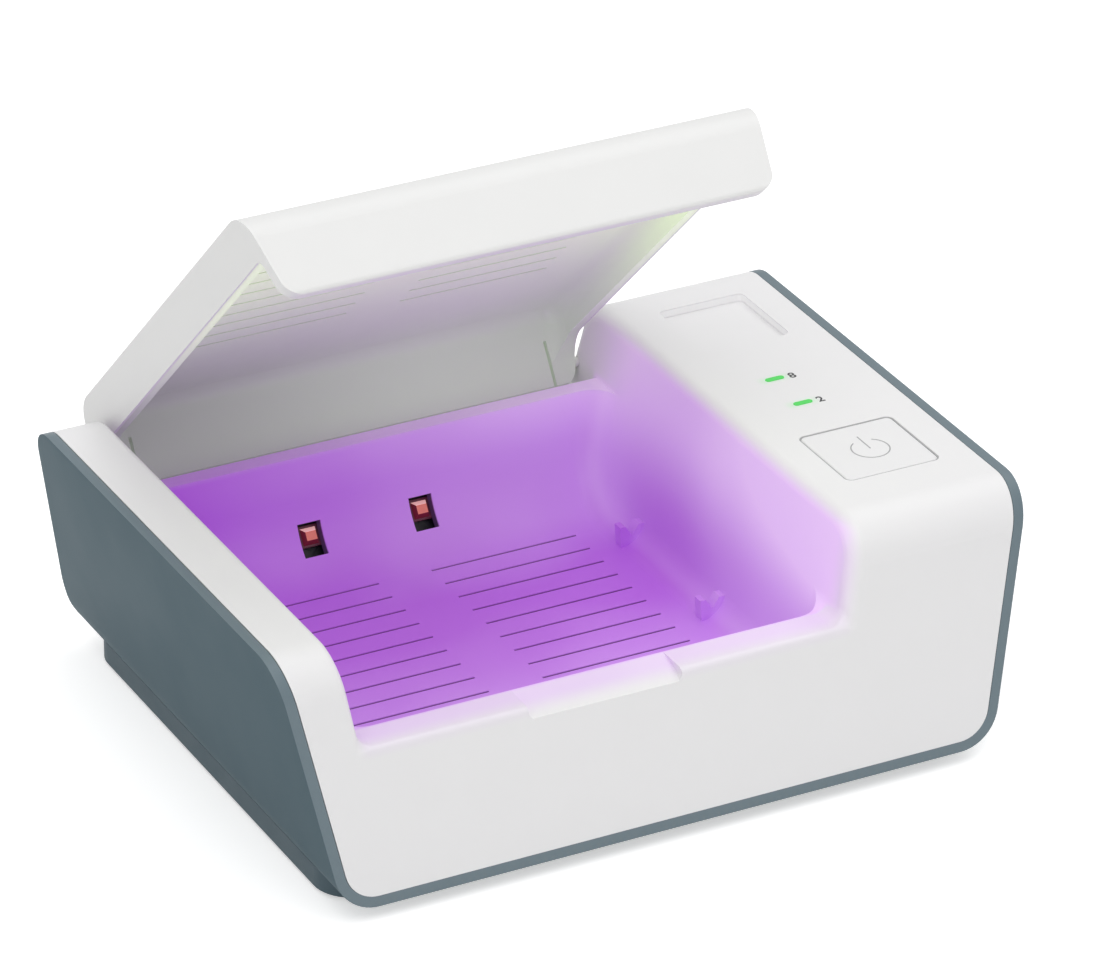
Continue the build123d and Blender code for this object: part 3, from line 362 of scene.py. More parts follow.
@dataclass(frozen=True)
class Chamber:
    """Where the drying chamber lies in the shell."""

    left: float = -49.3
    right: float = 30.75
    lean: float = 0.165
    top: float = 39.85
    floor: float = 11.9
    ledge: float = 25.55
    ledge_front: float = 3.0
    ledge_rear: float = 8.5
    rear: float = 77.2
    cove: float = 10.4
    shelf: float = 29.7
    shelf_rear: float = 80.0
    rests: tuple[float, float] = (36.0, 61.0)
    rest_half: float = 0.95
    rest_reach: float = 4.8

    @property
    def cove_axis(self) -> tuple[float, float]:
        """Place behind the front face's foot and height of the rear cove's axis."""
        return self.rear - self.cove, self.floor + self.cove

    def inside_walls(self, sheet: Sheet, x: Socket, z: Socket) -> tuple[Socket, Socket]:
        """How far a point lies inside the left and the right wall's plane.

        Args:
            sheet: the material that is built.
            x: X in millimetres.
            z: Z in millimetres.

        Returns:
            The two distances, negative outside.
        """
        slant = sheet.math("MULTIPLY", sheet.math("SUBTRACT", self.top, z), self.lean)
        left = sheet.math("SUBTRACT", sheet.math("SUBTRACT", x, self.left), slant)
        right = sheet.math("SUBTRACT", sheet.math("SUBTRACT", self.right, x), slant)
        return left, right


@dataclass(frozen=True)
class LampLight:
    """How the chamber's lamp light is painted onto its walls, as violet colour and glow.

    A fade is a pair of distances from an edge of the chamber: where the change begins and where
    it ends. A pale value is what a place adds to the violet's paleness.
    """

    room: Chamber = field(default_factory=Chamber)
    left_fade: Span = (-0.9, 1.2)
    right_fade: Span = (-2.0, 0.25)
    rim_fade: Span = (0.2, -2.0)
    shelf_fade: Span = (-1.0, 1.5)
    rear_fade: Span = (9.0, -10.0)
    rear_loss: float = 0.9
    trough_fade: Span = (0.0, 1.5)
    foot_fade: Span = (-1.2, 0.4)
    cheek_fade: Span = (-0.6, 1.0)
    cheek_rise: Span = (0.5, 1.5)
    ledge_rise: Span = (-2.0, -0.5)
    ledge_fade: Span = (-1.6, -2.0)
    ledge_spill: float = 0.5
    across: Span = (-44.0, 26.0)
    side_pale: Span = (-0.08, 0.62)
    aft_from: float = 50.0
    aft_pale: float = 0.32
    fore_from: float = 66.0
    fore_pale: Span = (0.34, 0.6)
    wall_fade: Span = (0.6, 2.5)
    wall_pale: float = 0.13
    cloud: float = 24.0
    cloud_pale: float = 0.07
    rest_blur: float = 0.2
    rest_root: Span = (0.2, 0.9)
    rest_foot: Span = (0.2, 1.2)
    rest_pale: float = 0.05
    cove_fade: Span = (0.0, 1.0)
    window_fade: Span = (0.1, 0.5)
    slit_fade: Span = (-0.04, -0.3)

    def share(self, sheet: Sheet, axes: Axes) -> Socket:
        """How strongly the painted lamp light shows at a point.

        Args:
            sheet: the material that is built.
            axes: X, Y and Z in millimetres.

        Returns:
            The share of lamp light.
        """
        x, y, z = axes
        left, right = self.room.inside_walls(sheet, x, z)
        walls = sheet.product(sheet.ramp(left, *self.left_fade), sheet.ramp(right, *self.right_fade))
        rim = sheet.fade(z, self.room.top, self.rim_fade)
        return sheet.product(walls, self.rear_share(sheet, y, z), rim, self.front_share(sheet, y, z))

    def rear_share(self, sheet: Sheet, y: Socket, z: Socket) -> Socket:
        """Share of light towards the rear: it fades over the shelf and ends behind the rear wall.

        Args:
            sheet: the material that is built.
            y: Y in millimetres.
            z: Z in millimetres.

        Returns:
            The share.
        """
        room = self.room
        over = sheet.fade(z, room.shelf, self.shelf_fade)
        faded = sheet.fade(y, depth(room.rear), self.rear_fade, self.rear_loss, 0.0)
        behind = sheet.fade(y, depth(room.shelf_rear), self.trough_fade)
        unlit = sheet.total(sheet.product(over, faded), sheet.product(sheet.remainder(over), behind))
        return sheet.remainder(unlit)

    def front_share(self, sheet: Sheet, y: Socket, z: Socket) -> Socket:
        """Share of light towards the front, where a little spills onto the ledge.

        Args:
            sheet: the material that is built.
            y: Y in millimetres.
            z: Z in millimetres.

        Returns:
            The share.
        """
        room = self.room
        fore, edge = depth(room.ledge_front), depth(room.ledge_rear)
        foot = sheet.fade(y, edge, self.foot_fade)
        cheek = sheet.ramp(y, fore + self.cheek_fade[0], edge + self.cheek_fade[1])
        high = sheet.fade(z, room.ledge, self.cheek_rise)
        front = sheet.total(foot, sheet.product(sheet.math("SUBTRACT", cheek, foot), high))
        spill = sheet.product(sheet.fade(z, room.ledge, self.ledge_rise),
                              sheet.ramp(y, fore + self.ledge_fade[0], edge + self.ledge_fade[1]),
                              self.ledge_spill)
        return sheet.math("MAXIMUM", front, spill)

    def paleness(self, sheet: Sheet, axes: Axes) -> Socket:
        """How far the violet pales with distance from the lamps.

        Args:
            sheet: the material that is built.
            axes: X, Y and Z in millimetres.

        Returns:
            0 for the deep violet to 1 for the pale one.
        """
        room = self.room
        x, y, z = axes
        _, right = room.inside_walls(sheet, x, z)
        side = sheet.ramp(x, *self.across)
        lift = sheet.ramp(z, room.floor, room.top)
        fore = sheet.ramp(y, depth(self.fore_from), depth(room.ledge_rear))
        aft = sheet.ramp(y, depth(self.aft_from), depth(room.rear))
        noise = sheet.noise(self.cloud, detail=1.0)
        pale = sheet.total(sheet.product(side, sheet.ramp(lift, 0.0, 1.0, *self.side_pale)),
                           sheet.product(side, aft, self.aft_pale),
                           sheet.product(fore, sheet.ramp(lift, 0.0, 1.0, *self.fore_pale)),
                           sheet.ramp(right, *self.wall_fade, self.wall_pale, 0.0),
                           sheet.ramp(noise, *NOISE_BAND, -self.cloud_pale, self.cloud_pale),
                           self.on_rests(sheet, right, y, z))
        return sheet.math("MINIMUM", sheet.math("MAXIMUM", pale, 0.0), 1.0)

    def on_rests(self, sheet: Sheet, right: Socket, y: Socket, z: Socket) -> Socket:
        """What the two clear rests on the right wall add to the paleness.

        Args:
            sheet: the material that is built.
            right: distance from the right wall.
            y: Y in millimetres.
            z: Z in millimetres.

        Returns:
            The added paleness.
        """
        room = self.room
        rows = [sheet.between(y, (depth(row) - room.rest_half, depth(row) + room.rest_half),
                              self.rest_blur) for row in room.rests]
        return sheet.product(sheet.math("MAXIMUM", *rows), sheet.ramp(right, *self.rest_root),
                             sheet.fade(right, room.rest_reach, (self.rest_blur, 0.0)),
                             sheet.fade(z, room.floor, self.rest_foot), self.rest_pale)

    def in_wells(self, sheet: Sheet, axes: Axes) -> Socket:
        """How far a point lies in the lamps' windows or in the floor's slits, where dark shade is painted.

        Args:
            sheet: the material that is built.
            axes: X, Y and Z in millimetres.

        Returns:
            0 on the chamber's walls to 1 in a window or a slit.
        """
        room = self.room
        _, y, z = axes
        axis_y, axis_z = room.cove_axis
        back = sheet.math("SUBTRACT", y, depth(axis_y))
        down = sheet.math("SUBTRACT", axis_z, z)
        reach = sheet.math("SQRT", sheet.total(sheet.product(back, back), sheet.product(down, down)))
        behind = sheet.product(sheet.ramp(back, *self.cove_fade), sheet.ramp(down, *self.cove_fade))
        windows = sheet.product(behind, sheet.fade(reach, room.cove, self.window_fade))
        return sheet.math("MAXIMUM", windows, sheet.fade(z, room.floor, self.slit_fade))


@dataclass(frozen=True)
class Glow:
    """Green light of the light bars, painted into the colour of the plastic round them."""

    x: Span = LIGHT_BAR_X
    rows: tuple[float, float] = LIGHT_BAR_ROWS
    margin: float = 0.2
    reach: float = 1.5
    top_fade: Span = (-0.4, -0.2)
    strength: float = 0.32
    tint: Colour = (0.42, 0.86, 0.46)

    def share(self, sheet: Sheet, axes: Axes, top: float) -> Socket:
        """How strongly the painted green glow shows at a point of the console.

        Args:
            sheet: the material that is built.
            axes: X, Y and Z in millimetres.
            top: height of the console's top.

        Returns:
            The glow's share.
        """
        x, y, z = axes
        low, high = self.x
        along = sheet.between(x, (low - self.margin, high + self.margin), self.reach)
        rows = [sheet.between(y, (depth(row), depth(row)), self.reach) for row in self.rows]
        across = sheet.math("MAXIMUM", *rows)
        return sheet.product(along, across, sheet.fade(z, top, self.top_fade), self.strength)


@dataclass(frozen=True)
class Tray:
    """Shallow tray in the console, whose walls get a faint painted glow that lifts their shade."""

    x: Span = (37.8, 52.0)
    y: Span = (62.1, 77.2)
    drop: float = 1.3
    margin: float = 0.1
    wall_fade: float = 0.3
    # strength of the painted glow on the walls
    strength: float = 0.15

    def walls(self, sheet: Sheet, axes: Axes, top: float) -> Socket:
        """1 on the tray's walls.

        Args:
            sheet: the material that is built.
            axes: X, Y and Z in millimetres.
            top: height of the console's top.

        Returns:
            The walls' mask.
        """
        x, y, z = axes
        front, rear = self.y
        inside = sheet.product(sheet.between(x, self.x, self.margin),
                               sheet.between(y, (depth(front), depth(rear)), self.margin))
        return sheet.product(inside, sheet.fade(z, top - self.drop, (0.0, self.wall_fade)),
                             sheet.fade(z, top, (0.0, -self.wall_fade)))


@dataclass(frozen=True)
class LitPlastic(Plastic):
    """The shell's white plastic, with the chamber's violet lamp light painted on as colour and glow."""

    light: LampLight = field(default_factory=LampLight)
    glow: Glow = field(default_factory=Glow)
    tray: Tray = field(default_factory=Tray)
    # deep and soft: violet of the painted lamp light, deep near the lamps and pale away from them; emission:
    # strength of its painted glow
    deep: Colour = (0.40, 0.115, 0.61)
    soft: Colour = (0.77, 0.57, 0.87)
    # well: painted shade in the lamps' windows and the floor's slits
    well: Colour = (0.07, 0.03, 0.10)
    emission: float = 0.285

    def make(self) -> bpy.types.Material:
        """Build the material.

        Returns:
            The finished material.
        """
        sheet = Sheet(self.name)
        axes = sheet.axes()
        top = self.light.room.top
        # Painted lamp light: violet colour and glow where the chamber's lamps shine on the walls.
        share = self.light.share(sheet, axes)
        violet = sheet.blend(self.light.paleness(sheet, axes), rgba(self.deep), rgba(self.soft))
        # painted shade in the windows and the slits
        violet = sheet.blend(self.light.in_wells(sheet, axes), violet, rgba(self.well))
        colour = sheet.blend(share, self.tint(sheet), violet)
        # painted green glow of the light bars on the console round them
        glow = self.glow.share(sheet, axes, top)
        sheet.wire(sheet.blend(glow, colour, rgba(self.glow.tint)), sheet.shader.inputs["Base Color"])
        # painted glow on the tray's walls, which lifts their shade
        walls = self.tray.walls(sheet, axes, top)
        sheet.wire(sheet.blend(walls, violet, rgba(self.colour)), sheet.shader.inputs["Emission Color"])
        lit = sheet.product(share, self.emission)
        sheet.wire(sheet.total(lit, sheet.product(walls, self.tray.strength)),
                   sheet.shader.inputs["Emission Strength"])
        self.surface(sheet)
        return sheet.material


@dataclass(frozen=True)
class LidPlastic(Plastic):
    """The lid's thin white plastic, painted greyer inside as shade, with a painted glow of light from above.

    Places on the lid are counted in its own plane: reach from the hinge towards its front, and
    height above the hinge, square to the plane.
    """

    # inner and rear: the inner side's colour, greenish at the front to offset the chamber's violet light
    # reflected onto it
    inner: Colour = (0.86, 1.0, 0.70)
    rear: Colour = (0.88, 0.97, 0.83)
    # shaded and groove: painted shade towards the hinge and the left, and in the grooves
    shaded: Colour = (0.40, 0.41, 0.40)
    groove: Colour = (0.30, 0.32, 0.29)
    # through: colour of the painted glow of light from above coming through the plastic
    through: Colour = (0.86, 1.0, 0.70)
    through_level: float = 0.205
    through_rear: float = 0.4
    through_span: Span = (-4.0, 60.0)
    open_deg: float = 44.0
    hinge: tuple[float, float] = (86.4, 29.5)
    plate_top: float = 10.35
    plate: float = 2.0
    plate_fade: Span = (0.9, 0.3)
    groove_fade: Span = (0.05, 0.2)
    front_reach: float = 79.6
    lip_fade: Span = (1.0, 0.0)
    flap_reach: float = 3.0
    flap_fade: Span = (0.0, 1.5)
    cheeks: Span = (-47.1, 28.3)
    cheek_blur: float = 0.6
    near_span: Span = (4.0, 62.0)
    left_from: float = 10.0
    right_shade: float = 0.45

    def in_plane(self, sheet: Sheet, y: Socket, z: Socket) -> tuple[Socket, Socket]:
        """Reach and height of a point in the open lid's own plane.

        Args:
            sheet: the material that is built.
            y: Y in millimetres.
            z: Z in millimetres.

        Returns:
            The reach and the height in millimetres.
        """
        turn = math.radians(self.open_deg)
        hinge_y, hinge_z = self.hinge
        back = sheet.math("SUBTRACT", y, depth(hinge_y))
        above = sheet.math("SUBTRACT", z, hinge_z)
        reach = sheet.total(sheet.product(back, -math.cos(turn)), sheet.product(above, math.sin(turn)))
        height = sheet.total(sheet.product(back, math.sin(turn)), sheet.product(above, math.cos(turn)))
        return reach, height

    def make(self) -> bpy.types.Material:
        """Build the material.

        Returns:
            The finished material.
        """
        sheet = Sheet(self.name)
        x, y, z = sheet.axes()
        reach, height = self.in_plane(sheet, y, z)
        under = self.plate_top - self.plate
        inside = sheet.product(sheet.fade(height, under, self.plate_fade),
                               sheet.fade(reach, self.front_reach, self.lip_fade),
                               sheet.between(x, self.cheeks, self.cheek_blur),
                               sheet.fade(reach, -self.flap_reach, self.flap_fade))
        near = sheet.ramp(reach, *self.near_span, 1.0, 0.0)
        left = sheet.ramp(x, self.left_from, self.cheeks[0], self.right_shade, 1.0)
        inner = sheet.blend(near, rgba(self.inner), rgba(self.rear))
        # painted shade, darker towards the hinge and the left and in the grooves
        shade = sheet.blend(sheet.product(near, left), inner, rgba(self.shaded))
        groove_shade_share = sheet.fade(height, under, self.groove_fade)
        shade = sheet.blend(groove_shade_share, shade, rgba(self.groove))
        sheet.wire(sheet.blend(inside, self.tint(sheet), shade), sheet.shader.inputs["Base Color"])
        # painted glow of light from above coming through the plastic
        sheet.wire(sheet.blend(near, rgba(self.through), rgba(self.rear)),
                   sheet.shader.inputs["Emission Color"])
        painted_glow = sheet.product(inside, sheet.ramp(reach, *self.through_span, self.through_rear, 1.0),
                               self.through_level, sheet.remainder(groove_shade_share))
        sheet.wire(painted_glow, sheet.shader.inputs["Emission Strength"])
        self.surface(sheet)
        return sheet.material


@dataclass(frozen=True)
class Metal:
    """Plain or brushed metal."""

    name: str
    colour: Colour
    roughness: float
    brush: Triple = (1.0, 1.0, 1.0)
    relief: float = 0.004
    streak: float = 0.8
    streak_dark: float = 0.86
    streak_band: Span = (0.3, 0.7)
    gloss: Span = (-0.06, 0.08)

    def make(self) -> bpy.types.Material:
        """Build the material.

        Returns:
            The finished material.
        """
        sheet = Sheet(self.name)
        streaks = sheet.noise(self.streak, detail=3.0, stretch=Vector(self.brush))
        darker = tuple(channel * self.streak_dark for channel in self.colour)
        sheet.wire(sheet.blend(streaks, rgba(darker), rgba(self.colour)),
                   sheet.shader.inputs["Base Color"])
        low, high = self.gloss
        sheet.wire(sheet.ramp(streaks, *self.streak_band, self.roughness + low, self.roughness + high),
                   sheet.shader.inputs["Roughness"])
        sheet.set(metallic=1.0)
        sheet.bump(streaks, self.relief)
        return sheet.material


@dataclass(frozen=True)
class Lamp:
    """A lit piece: a light guide or an emitter."""

    name: str
    colour: Colour
    glow: Colour
    strength: float
    roughness: float = 0.25
    patch: float = 1.2
    patch_dark: float = 0.8

    def make(self) -> bpy.types.Material:
        """Build the material.

        Returns:
            The finished material.
        """
        sheet = Sheet(self.name)
        dim = tuple(channel * self.patch_dark for channel in self.colour)
        sheet.wire(sheet.blend(sheet.noise(self.patch), rgba(dim), rgba(self.colour)),
                   sheet.shader.inputs["Base Color"])
        sheet.set(roughness=self.roughness, emission_strength=self.strength)
        sheet.shader.inputs["Emission Color"].default_value = rgba(self.glow)
        return sheet.material


@dataclass(frozen=True)
class Board:
    """Solder mask over copper tracks."""

    name: str
    mask: Colour
    track: Colour
    pitch: float = 3.0
    track_edge: Span = (0.06, 0.1)
    roughness: float = 0.38
    relief: float = 0.03

    def make(self) -> bpy.types.Material:
        """Build the material.

        Returns:
            The finished material.
        """
        sheet = Sheet(self.name)
        tracks = sheet.add("ShaderNodeTexVoronoi", feature="DISTANCE_TO_EDGE", distance="MANHATTAN")
        tracks.inputs["Scale"].default_value = 1 / (self.pitch * MM)
        sheet.wire(sheet.place(), tracks.inputs["Vector"])
        near = sheet.ramp(tracks.outputs["Distance"], *self.track_edge, 1.0, 0.0)
        sheet.wire(sheet.blend(near, rgba(self.mask), rgba(self.track)),
                   sheet.shader.inputs["Base Color"])
        sheet.set(roughness=self.roughness)
        sheet.bump(near, self.relief)
        return sheet.material


Finish = Plastic | Metal | Lamp | Board


# ---- Mesh helpers ----------------------------------------------------------------------------
def as_piece(name: str, mesh: bpy.types.Mesh, materials: list[bpy.types.Material], body: str) -> bpy.types.Object:
    """Make a visible piece that moves with a body.

    Args:
        name: the piece's name.
        mesh: its mesh, placed in the frame.
        materials: its finishes, in the order of the faces' material numbers.
        body: the body that it rides on.

    Returns:
        The piece.
    """
    piece = bpy.data.objects.new(name, mesh)
    bpy.context.scene.collection.objects.link(piece)
    for material in materials:
        mesh.materials.append(material)
    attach(piece, body)
    log.info("%s: %d faces on %s", name, len(mesh.polygons), body)
    return piece


def to_mesh(name: str, shape: bmesh.types.BMesh, place: Matrix | None = None) -> bpy.types.Mesh:
    """Turn a finished bmesh into a mesh in the frame with its faces outwards.

    Args:
        name: the mesh's name.
        shape: the bmesh in millimetres, which is freed.
        place: its place in the frame in millimetres.

    Returns:
        The mesh.
    """
    matrix = Matrix.Scale(MM, 4) @ (place or Matrix.Identity(4))
    bmesh.ops.transform(shape, matrix=matrix, verts=shape.verts)
    bmesh.ops.recalc_face_normals(shape, faces=shape.faces)
    mesh = bpy.data.meshes.new(name)
    shape.to_mesh(mesh)
    shape.free()
    return mesh


def block(shape: bmesh.types.BMesh, x: Span, y: Span, z: Span) -> list[bmesh.types.BMVert]:
    """Add a plain block between two corners.

    Args:
        shape: the bmesh that it is added to.
        x: its X range.
        y: its Y range.
        z: its Z range.

    Returns:
        Its vertices.
    """
    verts = bmesh.ops.create_cube(shape, size=1.0)["verts"]
    spans = (x, y, z)
    bmesh.ops.scale(shape, verts=verts, vec=[high - low for low, high in spans])
    bmesh.ops.translate(shape, verts=verts, vec=[(low + high) / 2 for low, high in spans])
    return verts


def round_edges(shape: bmesh.types.BMesh, edges: list[bmesh.types.BMEdge], size: float,
                segments: int) -> None:
    """Round edges by a size in the bmesh's own unit."""
    bmesh.ops.bevel(shape, geom=edges, offset=size, segments=segments, profile=0.5,
                    affect="EDGES", material=-1, clamp_overlap=True)


def upright(edge: bmesh.types.BMEdge) -> bool:
    """Whether an edge runs along Z."""
    first, second = (vert.co for vert in edge.verts)
    return (second - first).normalized().cross(Vector((0, 0, 1))).length < PARALLEL


# ---- Side panels -----------------------------------------------------------------------------
@dataclass
class Cradle:
    """The slate cradle with its sharp edges rounded, and its narrow rim painted lighter where light falls on it.
    """

    edge: float = 0.75
    segments: int = 4
    weld: float = 0.002
    flat_deg: float = 0.6
    sharp_deg: float = 38.0
    rim_facing: float = 0.3

    def build(self, panel: bpy.types.Material, rim: bpy.types.Material) -> bpy.types.Object:
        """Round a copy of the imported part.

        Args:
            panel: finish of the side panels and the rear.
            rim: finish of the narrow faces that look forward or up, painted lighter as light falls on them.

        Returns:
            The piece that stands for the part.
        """
        shape = bmesh.new()
        shape.from_mesh(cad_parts["cradle"].data)
        bmesh.ops.remove_doubles(shape, verts=shape.verts, dist=self.weld * MM)
        bmesh.ops.dissolve_limit(shape, angle_limit=math.radians(self.flat_deg),
                                 verts=shape.verts, edges=shape.edges)
        sharp = [edge for edge in shape.edges
                 if edge.is_manifold and edge.calc_face_angle() > math.radians(self.sharp_deg)]
        round_edges(shape, sharp, self.edge * MM, self.segments)
        bmesh.ops.recalc_face_normals(shape, faces=shape.faces)
        for face in shape.faces:
            face.smooth = True
            # Faces that look forward or up get the lighter rim finish: painted light where the lamps fall on
            # them.
            face.material_index = int(-face.normal.y > self.rim_facing
                                      or face.normal.z > self.rim_facing)
        mesh = bpy.data.meshes.new("cradle_rounded")
        shape.to_mesh(mesh)
        shape.free()
        mesh.set_sharp_from_angle(angle=math.radians(self.sharp_deg))
        piece = as_piece("cradle_rounded", mesh, [panel, rim], HOUSING)
        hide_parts("cradle")
        return piece


# ---- Console ---------------------------------------------------------------------------------
@dataclass
class PushButton:
    """A grey strip in the groove round the push button, painted shade in place of the gap, and the standby sign
    on it: an open ring with a bar.
    """

    x: Span = (36.6, 52.0)
    y: Span = (17.4, 32.5)
    corner: float = 1.2
    groove: float = 0.25
    clearance: float = 0.02
    shade_strip_drop: float = 0.07
    shade_strip_height: float = 0.3
    corner_steps: int = 8
    sign: tuple[float, float] = (44.5, 24.85)
    radius: float = 2.8
    line: float = 0.2
    gap_deg: float = 64.0
    bar: Span = (0.0, 3.95)
    ink_thick: float = 0.02
    ring_steps: int = 72

    def shade_strip(self, top: float, rubber: bpy.types.Material) -> bpy.types.Object:
        """Lay the thin grey strip of painted shade into the groove.

        Args:
            top: height of the console's top.
            rubber: the grey finish of the strip, which paints the groove's shade.

        Returns:
            The piece.
        """
        shape = bmesh.new()
        play = self.clearance
        high = top - self.shade_strip_drop
        block(shape, (self.x[0] + play, self.x[1] - play),
              (depth(self.y[0]) + play, depth(self.y[1]) - play), (high - self.shade_strip_height, high))
        round_edges(shape, [edge for edge in shape.edges if upright(edge)], self.corner - play,
                    self.corner_steps)
        caps = [face for face in shape.faces if abs(face.normal.z) > SQUARE_ON]
        bmesh.ops.inset_individual(shape, faces=caps, thickness=self.groove - 2 * play,
                                   use_even_offset=True)
        rims = [edge for face in caps for edge in face.edges]
        bmesh.ops.delete(shape, geom=caps, context="FACES_ONLY")
        bmesh.ops.bridge_loops(shape, edges=rims)
        return as_piece("button_shade_strip", to_mesh("button_shade_strip", shape), [rubber], HOUSING)

    def standby_sign(self, top: float, ink: bpy.types.Material) -> bpy.types.Object:
        """Print the sign on the button's top.

        Args:
            top: height of the button's top.
            ink: the ink's finish.

        Returns:
            The piece.
        """
        shape = bmesh.new()
        half = self.line / 2
        corners = [shape.verts.new((0, self.radius + dx, dz))
                   for dx, dz in ((-half, 0), (half, 0), (half, self.ink_thick), (-half, self.ink_thick))]
        end = shape.faces.new(corners)
        turn = math.radians(self.gap_deg / 2)
        bmesh.ops.rotate(shape, verts=corners, cent=(0, 0, 0), matrix=Matrix.Rotation(turn, 3, "Z"))
        bmesh.ops.spin(shape, geom=[end], cent=(0, 0, 0), axis=(0, 0, 1),
                       angle=math.radians(360 - self.gap_deg), steps=self.ring_steps)
        block(shape, (-half, half), self.bar, (0, self.ink_thick))
        place = Matrix.Translation((self.sign[0], depth(self.sign[1]), top))
        return as_piece("power_mark", to_mesh("power_mark", shape, place), [ink], BUTTON)


@dataclass
class HourLights:
    """Caps of the two light bars, with a plain number beside each."""

    x: Span = LIGHT_BAR_X
    rows: tuple[float, float] = LIGHT_BAR_ROWS
    words: tuple[str, str] = ("2", "8")
    width: float = 1.05
    end_share: float = 0.49
    end_steps: int = 6
    overlap: float = 0.12
    proud: float = 0.1
    sunk: float = 0.05
    edge: float = 0.06
    number_left: float = 45.05
    number_drop: float = 0.2
    number_height: float = 2.2
    number_weight: float = 0.045
    ink_thick: float = 0.015

    def caps(self, top: float, light: bpy.types.Material) -> bpy.types.Object:
        """Set a rounded cap on each bar.

        Args:
            top: height of the console's top.
            light: finish of the caps.

        Returns:
            The piece.
        """
        shape = bmesh.new()
        for row in self.rows:
            y = depth(row)
            block(shape, (self.x[0] - self.overlap, self.x[1] + self.overlap),
                  (y - self.width / 2, y + self.width / 2), (top - self.sunk, top + self.proud))
        round_edges(shape, [edge for edge in shape.edges if upright(edge)],
                    self.width * self.end_share, self.end_steps)
        rim = [edge for edge in shape.edges if all(vert.co.z > top for vert in edge.verts)]
        round_edges(shape, rim, self.edge, FINE_STEPS)
        return as_piece("hour_light_caps", to_mesh("hour_light_caps", shape), [light], HOUSING)

    def numbers(self, top: float, ink: bpy.types.Material) -> list[bpy.types.Object]:
        """Print each number on the console.

        Args:
            top: height of the console's top.
            ink: the ink's finish.

        Returns:
            The printed pieces.
        """
        return [self.number(word, row, top, ink) for word, row in zip(self.words, self.rows)]

    def number(self, word: str, row: float, top: float, ink: bpy.types.Material) -> bpy.types.Object:
        """Print one number.

        Args:
            word: the number.
            row: place of its bar behind the front face's foot.
            top: height of the console's top.
            ink: the ink's finish.

        Returns:
            The printed piece.
        """
        text = bpy.data.curves.new(f"hours_{word}", "FONT")
        text.body = word
        text.size = self.number_height
        text.offset = self.number_weight
        text.extrude = self.ink_thick / 2
        text.align_y = "CENTER"
        holder = bpy.data.objects.new(f"hours_{word}_curve", text)
        bpy.context.scene.collection.objects.link(holder)
        graph = bpy.context.evaluated_depsgraph_get()
        mesh = bpy.data.meshes.new_from_object(holder.evaluated_get(graph))
        bpy.data.objects.remove(holder)
        mesh.materials.clear()
        y = depth(row) - self.number_drop
        place = Matrix.Translation((self.number_left, y, top + self.ink_thick / 2))
        mesh.transform(Matrix.Scale(MM, 4) @ place)
        return as_piece(f"hours_{word}", mesh, [ink], HOUSING)


# ---- Ultraviolet lamps -----------------------------------------------------------------------
@dataclass
class UvLamps:
    """Faceted lenses in dark frames behind the two windows in the cove."""

    room: Chamber = field(default_factory=Chamber)
    centres: tuple[float, float] = (-19.75, -1.65)
    slope_deg: float = 57.0
    board_radius: float = 13.4
    frame_front: float = 12.2
    frame_half: float = 1.7
    frame_rise: Span = (-1.0, 2.3)
    lens_front: float = 11.2
    lens_base: tuple[float, float] = (2.5, 2.6)
    lens_face: tuple[float, float] = (1.7, 1.35)
    lens_rise: float = 0.62
    crown_facing: float = 0.3
    edge: float = 0.07

    def place(self, x: float, radius: float) -> Matrix:
        """Place on the cove's slope: X along the cove, Y uphill, Z to the chamber.

        Args:
            x: place along the cove.
            radius: distance from the cove's axis.

        Returns:
            The place in the frame in millimetres.
        """
        slope = math.radians(self.slope_deg)
        axis_y, axis_z = self.room.cove_axis
        y = depth(axis_y) + math.sin(slope) * radius
        z = axis_z - math.cos(slope) * radius
        turn = Matrix.Rotation(slope, 4, "X")
        return Matrix.Translation((x, y, z)) @ turn

    def frames(self, finish: bpy.types.Material) -> bpy.types.Object:
        """Build the dark frames.

        Args:
            finish: their finish.

        Returns:
            The piece.
        """
        whole = bmesh.new()
        for centre in self.centres:
            verts = block(whole, (-self.frame_half, self.frame_half), self.frame_rise,
                          (0.0, self.board_radius - self.frame_front))
            bmesh.ops.transform(whole, matrix=self.place(centre, self.board_radius), verts=verts)
        round_edges(whole, list(whole.edges), self.edge, FINE_STEPS)
        return as_piece("uv_lamp_frames", to_mesh("uv_lamp_frames", whole), [finish], HOUSING)

    def lenses(self, finishes: list[bpy.types.Material]) -> bpy.types.Object:
        """Build the lenses: a small face, a facet above it with a painted highlight and facets beside and below
        in painted shade.

        Args:
            finishes: finish of the face, the painted highlight of the facet above it and the painted shade of the
                others.

        Returns:
            The piece that stands for the chips.
        """
        whole = bmesh.new()
        width, height = self.lens_base
        high = self.frame_front - self.lens_front
        rise = self.lens_rise
        taper = (self.lens_face[0] / width, self.lens_face[1] / height, 1.0)
        for centre in self.centres:
            verts = block(whole, (-width / 2, width / 2), (rise - height / 2, rise + height / 2),
                          (0.0, high))
            top = [vert for vert in verts if vert.co.z > high / 2]
            bmesh.ops.scale(whole, verts=top, vec=taper, space=Matrix.Translation((0, -rise, 0)))
            # The facet above the face gets a painted highlight, the facets beside and below it painted shade.
            for facet in {facet for vert in verts for facet in vert.link_faces}:
                facet.normal_update()
                aside = 1 if facet.normal.y > self.crown_facing else 2
                facet.material_index = 0 if facet.normal.z > SQUARE_ON else aside
            bmesh.ops.transform(whole, matrix=self.place(centre, self.frame_front), verts=verts)
        round_edges(whole, list(whole.edges), self.edge, FINE_STEPS)
        piece = as_piece("uv_lenses", to_mesh("uv_lenses", whole), finishes, HOUSING)
        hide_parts("uv_chips")
        return piece


